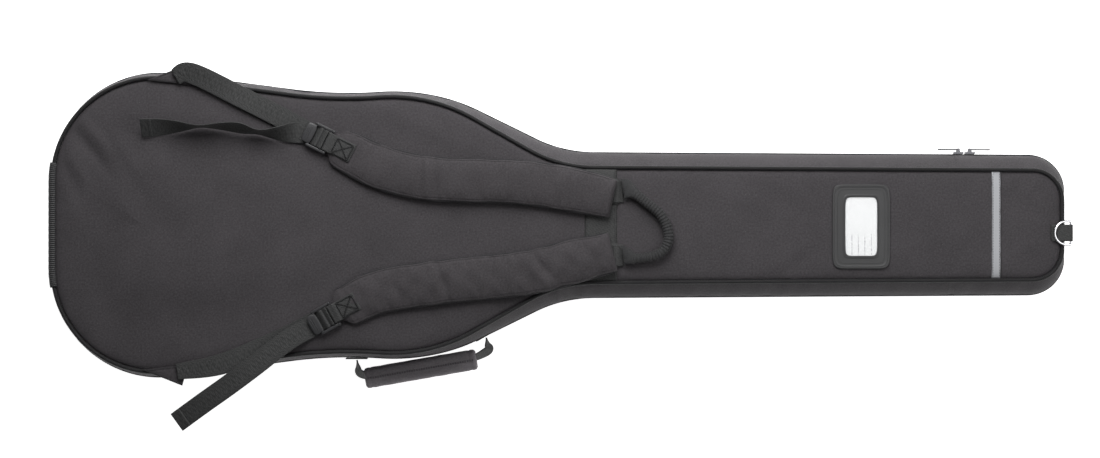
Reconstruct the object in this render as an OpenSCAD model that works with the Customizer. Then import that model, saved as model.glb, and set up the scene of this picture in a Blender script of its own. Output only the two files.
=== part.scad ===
// Padded gig bag for an electric bass, lying on its front pockets with the back
// panel and its shoulder straps facing up.
// Millimetres. +X runs from the tail to the head of the bag, +Y to the side that
// carries the main zip sliders, +Z out of the back panel. The origin lies on the
// flat rest face of the pockets, below the widest section of the lower bout.

/* [Bag] */
// Length of the padded panels from tail piping to head piping
panel_l = 1208; // [1160:1:1460]
// Width of the panels across the lower bout
lower_bout_w = 352; // [314:1:430]
// Width of the panels across the upper bout
upper_bout_w = 307; // [250:1:342]
// Width of the panels across the neck
neck_w = 138; // [115:1:170]
// Depth of the bag between the outer faces of its two panels
bag_depth = 84; // [66:1:110]
// Height of the pocket stack under the front panel
pocket_h = 12; // [9:0.5:18]
// Radius of the two tail corners, on the piping
tail_r = 124; // [90:1:145]
// Radius of the two head corners, on the piping
head_r = 36; // [24:1:60]
// Radius of the concave curve between upper bout and neck
shoulder_r = 160; // [110:1:200]
// Steepest slope of the shoulder line, in degrees
shoulder_angle = 29.5; // [24:0.5:36]
// Narrowing of the neck towards the head, in degrees a side
neck_taper = 0.35; // [0:0.05:1]

/* [Shell] */
// Outer fabric thickness
cover_t = 1.2; // [0.8:0.1:2]
// Foam thickness in the two panels
panel_foam_t = 14; // [8:0.5:18]
// Foam thickness in the side walls at the zip
side_foam_t = 8; // [5:0.5:12]
// Lining thickness
lining_t = 0.8; // [0.4:0.1:1.2]
// Radius of the piping cord
piping_r = 2.5; // [1.5:0.1:3.2]
// How far the side wall stands out past the piping around the body
body_bulge = 7; // [4:0.5:12]
// How far the side wall stands out past the piping along the neck
neck_bulge = 18; // [10:0.5:22]
// How far the side wall stands out past the piping at head and tail
end_bulge = 5; // [3:0.5:9]

/* [Zips] */
// Width of one half of the zip tape
tape_w = 8; // [6:0.5:12]
// Height of the zip coil above its tape
coil_h = 1.6; // [1:0.1:2.4]
// Width of one half of the zip coil
coil_w = 3; // [2:0.1:4]
// Length of a slider body
slider_l = 12; // [8:0.5:16]
// Width of a main slider body
slider_w = 10; // [7:0.5:14]
// Length of a slider's pull
pull_l = 22; // [14:1:34]
// Distance of the parked main sliders from the head piping
slider_from_head = 112; // [90:1:200]
// Travel of the first main slider towards the tail
slider_travel = 420; // [200:5:425]

/* [Straps] */
// Width of a shoulder pad
pad_w = 51; // [42:1:64]
// Width of a shoulder pad where it meets the ladder lock
pad_end_w = 37; // [31:1:44]
// Thickness of a shoulder pad
pad_t = 9; // [6:0.5:13]
// Width of the strap webbing
webbing_w = 25; // [20:0.5:30]
// Thickness of the webbing
webbing_t = 1.5; // [1:0.1:2.2]
// Width of the band sewn across the neck under the strap ends
band_w = 39; // [30:1:50]
// Thickness of the haul loop's rolled webbing
haul_d = 12.5; // [9:0.5:16]

/* [Holder] */
// Length of the card holder along the bag
holder_l = 69; // [62:0.5:90]
// Width of the card holder across the bag
holder_w = 101; // [94:0.5:112]
// Length of the clear window along the bag
window_l = 38; // [26:0.5:46]
// Width of the clear window across the bag
window_w = 70; // [50:0.5:78]
// Card size across the bag
card_w = 86; // [80:0.5:90]
// Card size along the bag
card_l = 54; // [50:0.5:58]
// Distance of the holder's centre from the head piping
holder_from_head = 241; // [220:1:330]

/* [Hardware] */
// Wire diameter of the D-ring
ring_wire = 3; // [2:0.1:4]
// Inner width of the D-ring
ring_w = 25; // [20:0.5:32]
// Width of the reflective strip
strip_w = 10.5; // [6:0.5:20]
// Distance of the reflective strip from the head piping
strip_from_head = 79.5; // [70:0.5:88]
// Length of the carry handle's padded grip
grip_l = 128; // [100:1:136]
// Width of the carry handle's padded grip
grip_w = 22; // [16:0.5:26]
// Height of the carry handle's padded grip
grip_t = 25; // [23:0.5:30]

/* [Pockets] */
// Length of the body pocket
body_pocket_l = 400; // [300:1:410]
// Width of the body pocket
body_pocket_w = 260; // [200:1:270]
// Length of the neck pocket
neck_pocket_l = 420; // [240:1:430]
// Width of the neck pocket
neck_pocket_w = 104; // [80:1:110]
// Thickness of the padded pocket panels
pocket_panel_t = 3.5; // [2.5:0.1:4.2]

/* [Hidden] */

// Clearances
gap = 0.3;       // between pieces that move past each other
pin_gap = 0.08;  // radial, around a pin
lay_gap = 0.1;   // between a piece and the face it lies on
zip_gap = 0.15;  // from each half to the plane where the zip meets

// Colours
CLOTH = [0.29, 0.28, 0.30];
PAD = [0.25, 0.24, 0.25];
FOAM = [0.62, 0.62, 0.60];
LINING = [0.36, 0.37, 0.40];
WEBBING = [0.32, 0.33, 0.33];
BLACK = [0.10, 0.10, 0.11];
METAL = [0.80, 0.80, 0.82];

// Levels
panel_z = pocket_h;                      // outer face of the front panel
back_z = pocket_h + bag_depth;           // outer face of the back panel
zip_z = pocket_h + bag_depth / 2;        // plane where the bag opens
half = bag_depth / 2;
piping_u = half - piping_r - lay_gap;    // height of the piping above the zip plane
seam_u = piping_u - piping_r;            // top of the side wall, under the piping
inner_u = half - cover_t - panel_foam_t - lining_t;
edge_d = piping_r + lay_gap;             // how far the panels stay inside the piping
seam_d = piping_r - 0.5;                 // reach of the side wall under the piping

// Outline of the piping: tail flat, tail corner, waist, upper bout, shoulder,
// neck and head corner, walked from the middle of the tail to that of the head.
tail_flat = lower_bout_w / 2 - tail_r;
waist_r = 550;
waist_rise = 4;
bout_r = 200;
arc_step = 6;

function arc_dx(r, a, b) = r * abs(sin(a) - sin(b));
function arc_dy(r, a, b) = r * abs(cos(a) - cos(b));
// Waist slope that joins the lower bout to the upper one over the bag's own length
waist_start_y = upper_bout_w / 2 - arc_dy(bout_r, waist_rise, 0);
waist_fall = 7.5 + (lower_bout_w - upper_bout_w - 45) / 12;
fall_line = (lower_bout_w / 2 - arc_dy(tail_r, 0, waist_fall) - waist_start_y
    - arc_dy(waist_r, waist_fall, waist_rise)) / sin(waist_fall);
bout_end_y = upper_bout_w / 2 - arc_dy(bout_r, 0, shoulder_angle);
neck_top_y = neck_w / 2 + arc_dy(shoulder_r, shoulder_angle, neck_taper);
shoulder_line = (bout_end_y - neck_top_y) / sin(shoulder_angle);
// Along X, from the widest section of the lower bout
bout_x = arc_dx(tail_r, 0, waist_fall) + fall_line * cos(waist_fall)
    + waist_r * (sin(waist_rise) + sin(waist_fall)) + arc_dx(bout_r, waist_rise, 0);
neck_x = bout_x + arc_dx(bout_r, 0, shoulder_angle) + shoulder_line * cos(shoulder_angle)
    + arc_dx(shoulder_r, shoulder_angle, neck_taper);
corner_r = min(head_r, neck_w / 2 - 7);  // leaves a short flat across the head
tail_x = -tail_r;
head_x = tail_x + panel_l;
head_start = head_x - corner_r * (1 - sin(neck_taper));
neck_line = (head_start - neck_x) / cos(neck_taper);
head_y = neck_w / 2 - neck_line * sin(neck_taper);

function steps(turn) = max(2, ceil(abs(turn) / arc_step));
// A route of ["line", length, stops] and ["arc", radius, turn, stops] pieces, with
// left turns positive, as a list of [x, y, heading].
function line_to(p, l) = [p[0] + l * cos(p[2]), p[1] + l * sin(p[2]), p[2]];
function arc_to(p, r, turn) = let (s = sign(turn), h = p[2] + turn)
    [p[0] + s * r * (sin(h) - sin(p[2])), p[1] - s * r * (cos(h) - cos(p[2])), h];
function walk(p, route, i = 0) = i == len(route) ? [] :
    let (seg = route[i], n = seg[0] == "line" ? seg[2] : seg[3],
        stops = [for (k = [1:n]) seg[0] == "line"
            ? line_to(p, seg[1] * k / n) : arc_to(p, seg[1], seg[2] * k / n)])
    concat(stops, walk(stops[n - 1], route, i + 1));

tail_turn = -(90 + waist_fall);
waist_turn = waist_fall + waist_rise;
bout_turn = -(waist_rise + shoulder_angle);
neck_turn = shoulder_angle - neck_taper;
head_turn = -(90 - neck_taper);
tail_corner = [tail_x, tail_flat, 90];
side_walk = concat([tail_corner], walk(tail_corner, [
    ["arc", tail_r, tail_turn, steps(tail_turn)],
    ["line", fall_line, 2],
    ["arc", waist_r, waist_turn, 3],
    ["arc", bout_r, bout_turn, steps(bout_turn)],
    ["line", shoulder_line, 2],
    ["arc", shoulder_r, neck_turn, steps(neck_turn)],
    ["line", neck_line, 4],
    ["arc", corner_r, head_turn, steps(head_turn)]]));
join_i = 1 + steps(tail_turn) + 2 + 3 + steps(bout_turn) + 2 + steps(neck_turn) - 1;

// Stand-out of the side wall past the piping, grown smoothly along the shoulder
function ease(t) = let (c = min(1, max(0, t))) c * c * (3 - 2 * c);
bulge_x0 = bout_x;
bulge_x1 = neck_x - 5;
function bulge(p) = p[0] > bulge_x1
    ? end_bulge + (neck_bulge - end_bulge) * max(0, cos(p[2]))
    : p[0] < bulge_x0 ? end_bulge + (body_bulge - end_bulge) * max(0, cos(p[2]))
    : body_bulge + (neck_bulge - body_bulge) * ease((p[0] - bulge_x0) / (bulge_x1 - bulge_x0));
side = [for (p = side_walk) [p[0], p[1], p[2], bulge(p)]];
function mirrored(l) = [for (i = [len(l) - 1:-1:0]) [l[i][0], -l[i][1], 180 - l[i][2], l[i][3]]];
function part_of(l, a, b) = [for (i = [a:b]) l[i]];
last_i = len(side) - 1;
round_path = concat(side, mirrored(side));
body_side = part_of(side, 0, join_i);
neck_side = part_of(side, join_i, last_i);
body_path = concat(mirrored(body_side), body_side);
neck_path = concat(neck_side, mirrored(neck_side));
hinge_i = 3;   // the zip ends this many stops into the tail corner
guard_i = 2;   // and the tail guard ends here
zip_side = part_of(side, hinge_i, last_i);
zip_path = concat(zip_side, mirrored(zip_side));
hinge_side = part_of(side, 0, hinge_i);
hinge_path = concat(mirrored(hinge_side), hinge_side);
guard_side = part_of(side, 0, guard_i);
guard_path = concat(mirrored(guard_side), guard_side);

function place(p, d, z) = [p[0] - d * sin(p[2]), p[1] + d * cos(p[2]), z];
function outline(path, d) = [for (p = path) let (q = place(p, d, 0)) [q[0], q[1]]];

// Solid through a list of rings, each ring the same number of points. The split of
// each quad runs from its lower point, so that neighbours that share a face agree.
module rings_solid(rings, closed = false) {
    n = len(rings);
    k = len(rings[0]);
    points = [for (r = rings) each r];
    function id(i, j) = (i % n) * k + (j % k);
    sides = [for (i = [0:closed ? n - 1 : n - 2], j = [0:k - 1])
        let (a = id(i, j + 1), b = id(i, j), c = id(i + 1, j), d = id(i + 1, j + 1))
        each points[b][2] < points[a][2] ? [[a, b, d], [b, c, d]] : [[a, b, c], [a, c, d]]];
    caps = closed ? [] : [[for (j = [0:k - 1]) j], [for (j = [k - 1:-1:0]) id(n - 1, j)]];
    polyhedron(points, concat(sides, caps), convexity = 8);
}

// Wall that follows a path. section(b) gives its [offset, height above the zip plane]
// points for a stand-out b; s is 1 for the back half and -1 for the front half.
function flip(s, pts) = s > 0 ? pts : [for (i = [len(pts) - 1:-1:0]) pts[i]];
module wall(path, section, s, closed = false)
    rings_solid([for (p = path) [for (q = flip(s, section(p[3]))) place(p, q[0], zip_z + s * q[1])]],
        closed);

// Flat plate inside the outline, between two heights above the zip plane
module plate(s, u0, u1)
    translate([0, 0, zip_z + (s > 0 ? u0 : -u1)])
        linear_extrude(u1 - u0) polygon(outline(round_path, -edge_d));

// Side wall: outer curve from the zip tape up to the seam under the piping
curve_n = 3;
function outer_d(b, t) = seam_d + (b - seam_d) * sin(90 * t);
function outer_u(t) = seam_u + (tape_w - seam_u) * t;
function outer_pts(b, d) = [for (i = [curve_n:-1:0]) [outer_d(b, i / curve_n) + d, outer_u(i / curve_n)]];
// Inner curve from the lining's edge down to the zip plane
function inner_d(b, t) = -edge_d + (b - cover_t - side_foam_t + edge_d) * sin(90 * t);
function inner_pts(b, d) = [for (i = [0:2]) [inner_d(b, i / 2) + d, inner_u + (zip_gap - inner_u) * i / 2]];
function reversed(l) = [for (i = [len(l) - 1:-1:0]) l[i]];

cover_section = function (b) concat(outer_pts(b, 0), reversed(outer_pts(b, -cover_t)));
foam_section = function (b) concat([[b - cover_t, zip_gap]], outer_pts(b, -cover_t),
    [[-edge_d, seam_u]], inner_pts(b, 0));
side_lining_section = function (b) concat(reversed(inner_pts(b, 0)), inner_pts(b, -lining_t));
zip_section = function (b) [[b - cover_t, zip_gap], [b + coil_h, zip_gap], [b + coil_h, coil_w],
    [b, coil_w], [b, tape_w], [b - cover_t, tape_w]];
piping_section = function (b) [for (i = [0:7])
    [piping_r * cos(45 * i + 22.5), piping_u + piping_r * sin(45 * i + 22.5)]];
hinge_section = function (b) [[b - cover_t, -tape_w], [b, -tape_w], [b, tape_w], [b - cover_t, tape_w]];
guard_t = 2.2;
guard_lip = 4;
guard_section = function (b) concat(outer_pts(b, guard_t),
    [[edge_d + guard_t, half - 0.6], [edge_d, half + cover_t], [-guard_lip, half + cover_t],
    [-guard_lip, half + lay_gap], [edge_d, half + lay_gap], [edge_d, seam_u]],
    reversed(outer_pts(b, 0)));

// Panels
module panel_cover(s) color(CLOTH) plate(s, half - cover_t, half);
module panel_foam(s) color(FOAM) plate(s, half - cover_t - panel_foam_t, half - cover_t);
module half_lining(s) color(LINING) {
    plate(s, inner_u, inner_u + lining_t);
    wall(round_path, side_lining_section, s, true);
}
module half_piping(s) color(BLACK) wall(round_path, piping_section, s, true);
module side_cover(s) color(CLOTH) wall(round_path, cover_section, s, true);
module body_side_foam(s) color(FOAM) wall(body_path, foam_section, s);
module neck_side_foam(s) color(FOAM) wall(neck_path, foam_section, s);
module half_zipper(s) color(BLACK) wall(zip_path, zip_section, s);
module tail_guard(s) color(BLACK) wall(guard_path, guard_section, s);

module back_cover() panel_cover(1);
module back_foam() panel_foam(1);
module back_lining() half_lining(1);
module back_piping() half_piping(1);
module back_side_cover() side_cover(1);
module back_body_side_foam() body_side_foam(1);
module back_neck_side_foam() neck_side_foam(1);
module back_zipper() half_zipper(1);
module back_tail_guard() tail_guard(1);
module front_cover() panel_cover(-1);
module front_foam() panel_foam(-1);
module front_lining() half_lining(-1);
module front_piping() half_piping(-1);
module front_side_cover() side_cover(-1);
module front_body_side_foam() body_side_foam(-1);
module front_neck_side_foam() neck_side_foam(-1);
module front_zipper() half_zipper(-1);
module front_tail_guard() tail_guard(-1);
module tail_hinge() color(BLACK) wall(hinge_path, hinge_section, 1);

// Ribbons and tubes: stops are [x, y, z, width, thickness, roll], joined by a smooth
// curve through every stop and swept with an eight-sided section.
function curve_at(a, b, c, d, t) = 0.5 * (2 * b + (c - a) * t
    + (2 * a - 5 * b + 4 * c - d) * t * t + (3 * b - a - 3 * c + d) * t * t * t);
function smooth(p, n) = [for (i = [0:len(p) - 2], k = [0:i == len(p) - 2 ? n : n - 1])
    curve_at(p[max(0, i - 1)], p[i], p[i + 1], p[min(len(p) - 1, i + 2)], k / n)];
function unit(v) = v / norm(v);
function xyz(p) = [p[0], p[1], p[2]];
function octagon(w, t) = let (c = 0.29 * min(w, t), a = w / 2, b = t / 2)
    [[a, c - b], [a, b - c], [a - c, b], [c - a, b], [-a, b - c], [-a, c - b], [c - a, -b], [a - c, -b]];
function ribbon_ring(p, i) = let (
        t = unit(xyz(p[min(len(p) - 1, i + 1)]) - xyz(p[max(0, i - 1)])),
        level = unit(cross([0, 0, 1], t)), up = cross(t, level),
        w = level * cos(p[i][5]) + up * sin(p[i][5]), n = cross(t, w))
    [for (q = octagon(p[i][3], p[i][4])) xyz(p[i]) + w * q[0] + n * q[1]];
module ribbon(stops, n = 4) {
    p = smooth(stops, n);
    rings_solid([for (i = [0:len(p) - 1]) ribbon_ring(p, i)]);
}

// Back panel's fittings
deck_z = back_z + lay_gap;
band_x = neck_x - 12;
seam_x = band_x + band_w - 5;
band_h = webbing_t;
module neck_band() color(WEBBING)
    translate([band_x, -neck_w / 2 + edge_d, deck_z]) cube([band_w, neck_w - 2 * edge_d, band_h]);

strip_x = head_x - strip_from_head;
strip_half = head_y - edge_d;
module reflective_strip() color([0.62, 0.64, 0.66])
    translate([strip_x - strip_w / 2, -strip_half, deck_z]) cube([strip_w, 2 * strip_half, 0.5]);

// Card holder, open along its -Y edge
holder_x = head_x - holder_from_head;
holder_y = -1.8;
card_t = 0.7;
card_z = deck_z + 0.2;
window_z = card_z + card_t + 0.2;
window_t = 0.3;
holder_h = window_z + window_t + 1.1 - deck_z;
holder_wall = (holder_w - card_w) / 2 - 1;
window_lap = 3;
module rounded_rect(l, w, r) {
    for (sx = [-1, 1], sy = [-1, 1]) translate([sx * (l / 2 - r), sy * (w / 2 - r)]) circle(r, $fn = 32);
    square([l - 2 * r, w], center = true);
    square([l, w - 2 * r], center = true);
}
module id_frame() color(BLACK) translate([holder_x, holder_y, 0]) difference() {
    translate([0, 0, deck_z]) linear_extrude(holder_h) rounded_rect(holder_l, holder_w, 5);
    translate([-card_l / 2 - 0.4, -holder_w / 2 - 1, card_z - 0.2])
        cube([card_l + 0.8, holder_w + 1 - holder_wall, card_t + 0.4]);
    translate([-window_l / 2 - window_lap, -window_w / 2 - window_lap, window_z - lay_gap])
        cube([window_l + 2 * window_lap, window_w + 2 * window_lap, window_t + lay_gap]);
    translate([0, 0, card_z]) linear_extrude(holder_h) rounded_rect(window_l, window_w, 2.5);
}
module id_window() color([0.9, 0.92, 0.95, 0.4]) translate([holder_x, holder_y, window_z])
    translate([-window_l / 2 - window_lap + 0.2, -window_w / 2 - window_lap + 0.2, 0])
        cube([window_l + 2 * window_lap - 0.4, window_w + 2 * window_lap - 0.4, window_t]);
module id_card() color([0.96, 0.96, 0.95])
    translate([holder_x - card_l / 2, holder_y - card_w / 2, card_z]) cube([card_l, card_w, card_t]);

// D-ring folded back over its webbing tab at the head end
ring_r = ring_wire / 2;
ring_y = -9.5;
tab_w = 20;
tab_t = 1.2;
eye_t = tab_t + gap;
ring_z = deck_z + ring_r + pin_gap + eye_t;
ring_x = head_x + end_bulge + coil_h + 2.5;
ring_arc = ring_w / 2 + ring_r;
ring_leg = 5;
tab_l = 24;
module d_ring_tab() color(BLACK) difference() {
    union() {
        translate([ring_x - tab_l, ring_y - tab_w / 2, deck_z]) cube([tab_l, tab_w, tab_t]);
        translate([ring_x, ring_y - tab_w / 2, ring_z]) rotate([-90, 0, 0])
            cylinder(r = ring_z - deck_z, h = tab_w, $fn = 48);
    }
    translate([ring_x, ring_y - tab_w / 2 - 1, ring_z]) rotate([-90, 0, 0])
        cylinder(r = ring_r + pin_gap, h = tab_w + 2, $fn = 48);
}
module d_ring() color(METAL) translate([ring_x, ring_y, ring_z]) {
    translate([-ring_leg, 0, 0]) rotate([0, 0, 90]) rotate_extrude(angle = 180, $fn = 96)
        translate([ring_arc, 0]) circle(ring_r, $fn = 32);
    for (s = [-1, 1]) {
        translate([-ring_leg, s * ring_arc, 0]) rotate([0, 90, 0]) cylinder(r = ring_r, h = ring_leg, $fn = 32);
        translate([0, s * ring_arc, 0]) sphere(ring_r, $fn = 32);
    }
    rotate([90, 0, 0]) cylinder(r = ring_r, h = 2 * ring_arc, center = true, $fn = 32);
}

// Haul loop: rolled webbing whose flat ends are held by two patches on the neck band
haul_x = band_x + band_w;
haul_z = deck_z + gap + haul_d / 2;
haul_stops = [[7, 42, 1.6, 28, 3, 0], [11, 42, 1, 25, 5, 0], [21, 37, 0, 14, 9.5, 0], [34, 27, 0, 1, 1, 0],
    [50, 14, 0, 1, 1, 0], [59, -2, 0, 1, 1, 0], [61, -17, 0, 1, 1, 0], [55, -30, 0, 1, 1, 0],
    [43, -37, 0, 1, 1, 0], [21, -40, 0, 13, 9.5, 0], [11, -37.5, 1, 22, 5, 0], [7, -37.5, 1.6, 25, 3, 0]];
module haul_loop() color(WEBBING)
    ribbon([for (p = haul_stops) let (tube = p[3] == 1)
        [haul_x + p[0], p[1], tube ? haul_z : haul_z - p[2],
         tube ? haul_d : p[3], tube ? haul_d : p[4], 0]], 3);
module haul_loop_anchors() color(WEBBING)
    for (y = [[25, 55], [-51, -22]])
        translate([haul_x - 12, y[0], deck_z + band_h + lay_gap]) cube([12, y[1] - y[0], webbing_t]);

// Shoulder straps, laid from the seam on the neck band to the ladder locks
strap_z = deck_z + band_h + webbing_t + 3 * lay_gap + pad_t / 2;
end_t = 5.5;
end_z = deck_z + 2.4 + end_t / 2;
right_route = [[0, 31], [-49, 42], [-114, 51], [-214, 55], [-272, 67], [-316, 87], [-336, 97]];
left_route = [[0, -32], [-49, -44], [-104, -57], [-204, -68], [-276, -79], [-314, -95], [-330, -104]];
function strap_stop(p, i, n) = let (u = i / (n - 1), narrow = max(0, u - 0.6) / 0.4,
        thin = ease((u - 0.5) / 0.32))
    [seam_x + p[0], p[1], strap_z + (end_z - strap_z) * thin,
    i == 0 ? pad_w - 7 : pad_w + (pad_end_w - pad_w) * pow(narrow, 2), pad_t + (end_t - pad_t) * thin, 0];
function strap_stops(route) = [for (i = [0:len(route) - 1]) strap_stop(route[i], i, len(route))];
module strap_pad(route) color(PAD) ribbon(strap_stops(route), 3);

// Ladder lock in its own frame: +X towards the thumb tab, its base bar on the Y axis
lock_w = webbing_w + 6;
lock_l = 24;
lock_h = 4.6;
bar_r = 1.7;
bar_at = [0, 10.5, 20];
tab_reach = 10;
loop_gap = 0.4;
module ladder_lock() color(BLACK) {
    for (s = [-1, 1]) translate([-2.2, s * (lock_w / 2 - 1.4) - 1.4, -lock_h / 2]) cube([lock_l, 2.8, lock_h]);
    for (x = bar_at) translate([x, 0, 0]) rotate([90, 0, 0])
        cylinder(r = bar_r, h = lock_w - 2.6, center = true, $fn = 32);
    translate([20, 0, 0]) difference() {
        translate([0, 0, -0.4]) cylinder(r = lock_w / 2 - 3.5, h = 2.4, $fn = 64);
        translate([-20, -20, -3]) cube([20, 40, 6]);
        translate([tab_reach, -20, -3]) cube([20, 40, 6]);
    }
}
// Where the base bar lies, and the direction of the thumb tab
function route_end(route) = [seam_x + route[len(route) - 1][0], route[len(route) - 1][1]];
function route_turn(route) = let (n = len(route), a = route[n - 2], b = route[n - 1])
    atan2(b[1] - a[1], b[0] - a[0]);
lock_ahead = 5.5;
lock_z = deck_z + 6.4;
module at_lock(route) {
    e = route_end(route);
    translate([e[0], e[1], lock_z]) rotate([0, 0, route_turn(route)]) translate([lock_ahead, 0, 0]) children();
}
// Webbing patch sewn on the pad, its fold held round the ladder lock's base bar
patch_l = 27;
patch_z = end_z + end_t / 2 + 0.5;
module strap_patch(route) color(WEBBING) at_lock(route) {
    rotate([90, 0, 0]) difference() {
        cylinder(r = bar_r + loop_gap + webbing_t, h = webbing_w - 2, center = true, $fn = 48);
        cylinder(r = bar_r + loop_gap, h = webbing_w, center = true, $fn = 48);
    }
    translate([-lock_ahead - patch_l, -webbing_w / 2 + 1, patch_z - lock_z])
        cube([patch_l + 1, webbing_w - 2, webbing_t]);
}

// Strap webbing between its anchor on the edge of the lower bout and the lock
anchor_z = deck_z + lay_gap;
anchor_t = 2.4;
web_z = anchor_z + anchor_t + webbing_t;
right_anchor = [36, lower_bout_w / 2 + 6];
left_anchor = [30, -lower_bout_w / 2 - 3];
function under_lock(route, ahead, aside) = let (e = route_end(route), a = route_turn(route))
    [e[0] + (lock_ahead + ahead) * cos(a) - aside * sin(a),
     e[1] + (lock_ahead + ahead) * sin(a) + aside * cos(a)];
web_under_z = deck_z + 0.2 + webbing_t / 2;
module right_webbing() color(WEBBING) {
    e = under_lock(right_route, 14, 2);
    a = right_anchor;
    ribbon([[a[0] - 12, a[1] - 6, web_z + 1, webbing_w - 6, webbing_t, 8],
        [a[0] + 8, a[1] - 1, web_z + 3, webbing_w, webbing_t, 12],
        [a[0] + (e[0] - a[0]) * 0.45, a[1] + (e[1] - a[1]) * 0.4, web_z + 1, webbing_w, webbing_t, 0],
        [a[0] + (e[0] - a[0]) * 0.8, a[1] + (e[1] - a[1]) * 0.76, web_under_z + 1, webbing_w, webbing_t, 0],
        [e[0], e[1], web_under_z, webbing_w, webbing_t, 0]], 4);
}
module left_webbing() color(WEBBING) {
    e = under_lock(left_route, 14, -2);
    a = left_anchor;
    ribbon([[a[0] - 4, a[1] + 4, web_z + 1, webbing_w - 6, webbing_t, 0],
        [a[0] + (e[0] - a[0]) * 0.3, a[1] + (e[1] - a[1]) * 0.2, web_z + 1, webbing_w, webbing_t, 0],
        [a[0] + (e[0] - a[0]) * 0.7, a[1] + (e[1] - a[1]) * 0.62, web_under_z + 0.6, webbing_w, webbing_t, 0],
        [e[0], e[1], web_under_z, webbing_w, webbing_t, 0]], 4);
}
// Triangular gusset that holds the webbing's end, sewn into the piping seam
module strap_anchor(a, s) color(CLOTH) translate([0, 0, anchor_z]) linear_extrude(anchor_t)
    polygon([[a[0] - 46, s * (lower_bout_w / 2 - 3)], [a[0] + 2, s * (lower_bout_w / 2 + 16)],
        [a[0] + 9, s * (lower_bout_w / 2 - 9)]]);

// Free tails of the webbing past the ladder locks
tail_lean = 5;
tail_z = web_under_z + webbing_t + webbing_w / 2 * sin(tail_lean) - gap;
right_tail_stops = [[0, 0, 0, 0], [-20, 2, 1, tail_lean], [-44, 1, 9, 50], [-67, 2, 12.5, 78], [-90, 7, 12, 62],
    [-112, 9, 12.5, 72], [-138, 9, 13.5, 86], [-164, 9, 11, 60], [-188, 8, 8.5, 38], [-208, 7, 8, 32]];
module right_webbing_tail() color(WEBBING) {
    e = under_lock(right_route, 16, -2);
    ribbon([for (p = right_tail_stops) [e[0] + p[0], e[1] + p[1], tail_z + p[2], webbing_w, webbing_t, -p[3]]], 3);
}
left_tail_stops = [[0, 0, 0, 0], [-16, -8.5, 0.1, 0], [-32, -17, 2.5, 0], [-52, -31, 5, 0], [-76, -50, 6.5, 0],
    [-108, -74, 6, 0], [-142, -98, 0, 0], [-174, -121, -12, 0]];
module left_webbing_tail() color(WEBBING) {
    e = under_lock(left_route, 16, 1);
    ribbon([for (p = left_tail_stops) [e[0] + p[0], e[1] + p[1], tail_z + p[2], webbing_w, webbing_t, p[3]]], 3);
}

module right_strap_anchor() strap_anchor(right_anchor, 1);
module right_strap_pad() strap_pad(right_route);
module right_strap_patch() strap_patch(right_route);
module right_buckle() at_lock(right_route) ladder_lock();
module left_strap_anchor() strap_anchor(left_anchor, -1);
module left_strap_pad() strap_pad(left_route);
module left_strap_patch() strap_patch(left_route);
module left_buckle() at_lock(left_route) ladder_lock();

// Padded rest and strap for the instrument's neck, inside the front half
cradle_x = neck_x + 150;
cradle_l = 60;
cradle_z = zip_z - inner_u + lay_gap;
cradle_h = 14;
cradle_half = neck_w / 2 - edge_d - lining_t - 2;
saddle_r = 60;
module neck_cradle() color(LINING) translate([cradle_x, 0, cradle_z]) rotate([90, 0, 90])
    linear_extrude(cradle_l) difference() {
        translate([-cradle_half, 0]) square([2 * cradle_half, cradle_h]);
        translate([0, saddle_r + 5]) circle(saddle_r, $fn = 96);
    }
module neck_strap() color(WEBBING) translate([cradle_x + 11, 0, cradle_z]) rotate([90, 0, 90])
    linear_extrude(38) difference() {
        intersection() {
            translate([-32, 0]) square([64, cradle_h + 3]);
            translate([0, saddle_r + 5]) circle(saddle_r - lay_gap, $fn = 96);
        }
        translate([0, saddle_r + 5]) circle(saddle_r - lay_gap - webbing_t, $fn = 96);
    }

// Carry handle on the -Y side of the front half. Its own frame runs along +X between
// the two patches that hold it, with -Y out of the bag.
handle_z = zip_z - 15;
bout_end_x = bout_x + arc_dx(bout_r, 0, shoulder_angle);
handle_a = [bout_x - 45, -upper_bout_w / 2 - body_bulge - 2.5];
handle_foot = line_to([bout_end_x, -bout_end_y, shoulder_angle], 8);
handle_stand = bulge([handle_foot[0], 0, 0]) + 2.2;
handle_b = [handle_foot[0] + handle_stand * sin(shoulder_angle),
    handle_foot[1] - handle_stand * cos(shoulder_angle)];
handle_turn = atan2(handle_b[1] - handle_a[1], handle_b[0] - handle_a[0]);
handle_span = norm(handle_b - handle_a);
grip_out = 24;
grip_x0 = (handle_span - grip_l) / 2 - 3;
handle_web_w = 20;
handle_web_t = 2;
module at_handle() translate([handle_a[0], handle_a[1], handle_z]) rotate([0, 0, handle_turn]) children();
module handle_grip() color(PAD) at_handle() translate([grip_x0, -grip_out, 0]) rotate([90, 0, 90])
    linear_extrude(grip_l) difference() {
        polygon(octagon(grip_w, grip_t));
        square([handle_web_t + 2 * gap, handle_web_w + 2 * gap], center = true);
    }
handle_root_w = 6;   // the webbing is gathered where it is sewn to the patch
module handle_webbing() color(WEBBING) at_handle() ribbon([for (p = [[0, -1.3, 1], [0, -13, 0],
        [4, -grip_out + 2, 0], [grip_x0 + 6, -grip_out, 0], [grip_x0 + grip_l - 6, -grip_out, 0],
        [handle_span - 4, -grip_out + 2, 0], [handle_span, -13, 0], [handle_span, -1.3, 1]])
    [p[0], p[1], 0, p[2] == 1 ? handle_root_w : handle_web_w, handle_web_t, 90]], 3);
patch_t = 1.2;
handle_patch = [26, patch_t, 18.6];
module handle_anchors() color(WEBBING) {
    translate([handle_a[0], handle_a[1] + gap + patch_t / 2, handle_z]) cube(handle_patch, center = true);
    translate([handle_b[0], handle_b[1], handle_z]) rotate([0, 0, shoulder_angle])
        translate([0, gap + patch_t / 2, 0]) cube(handle_patch, center = true);
}

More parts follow.
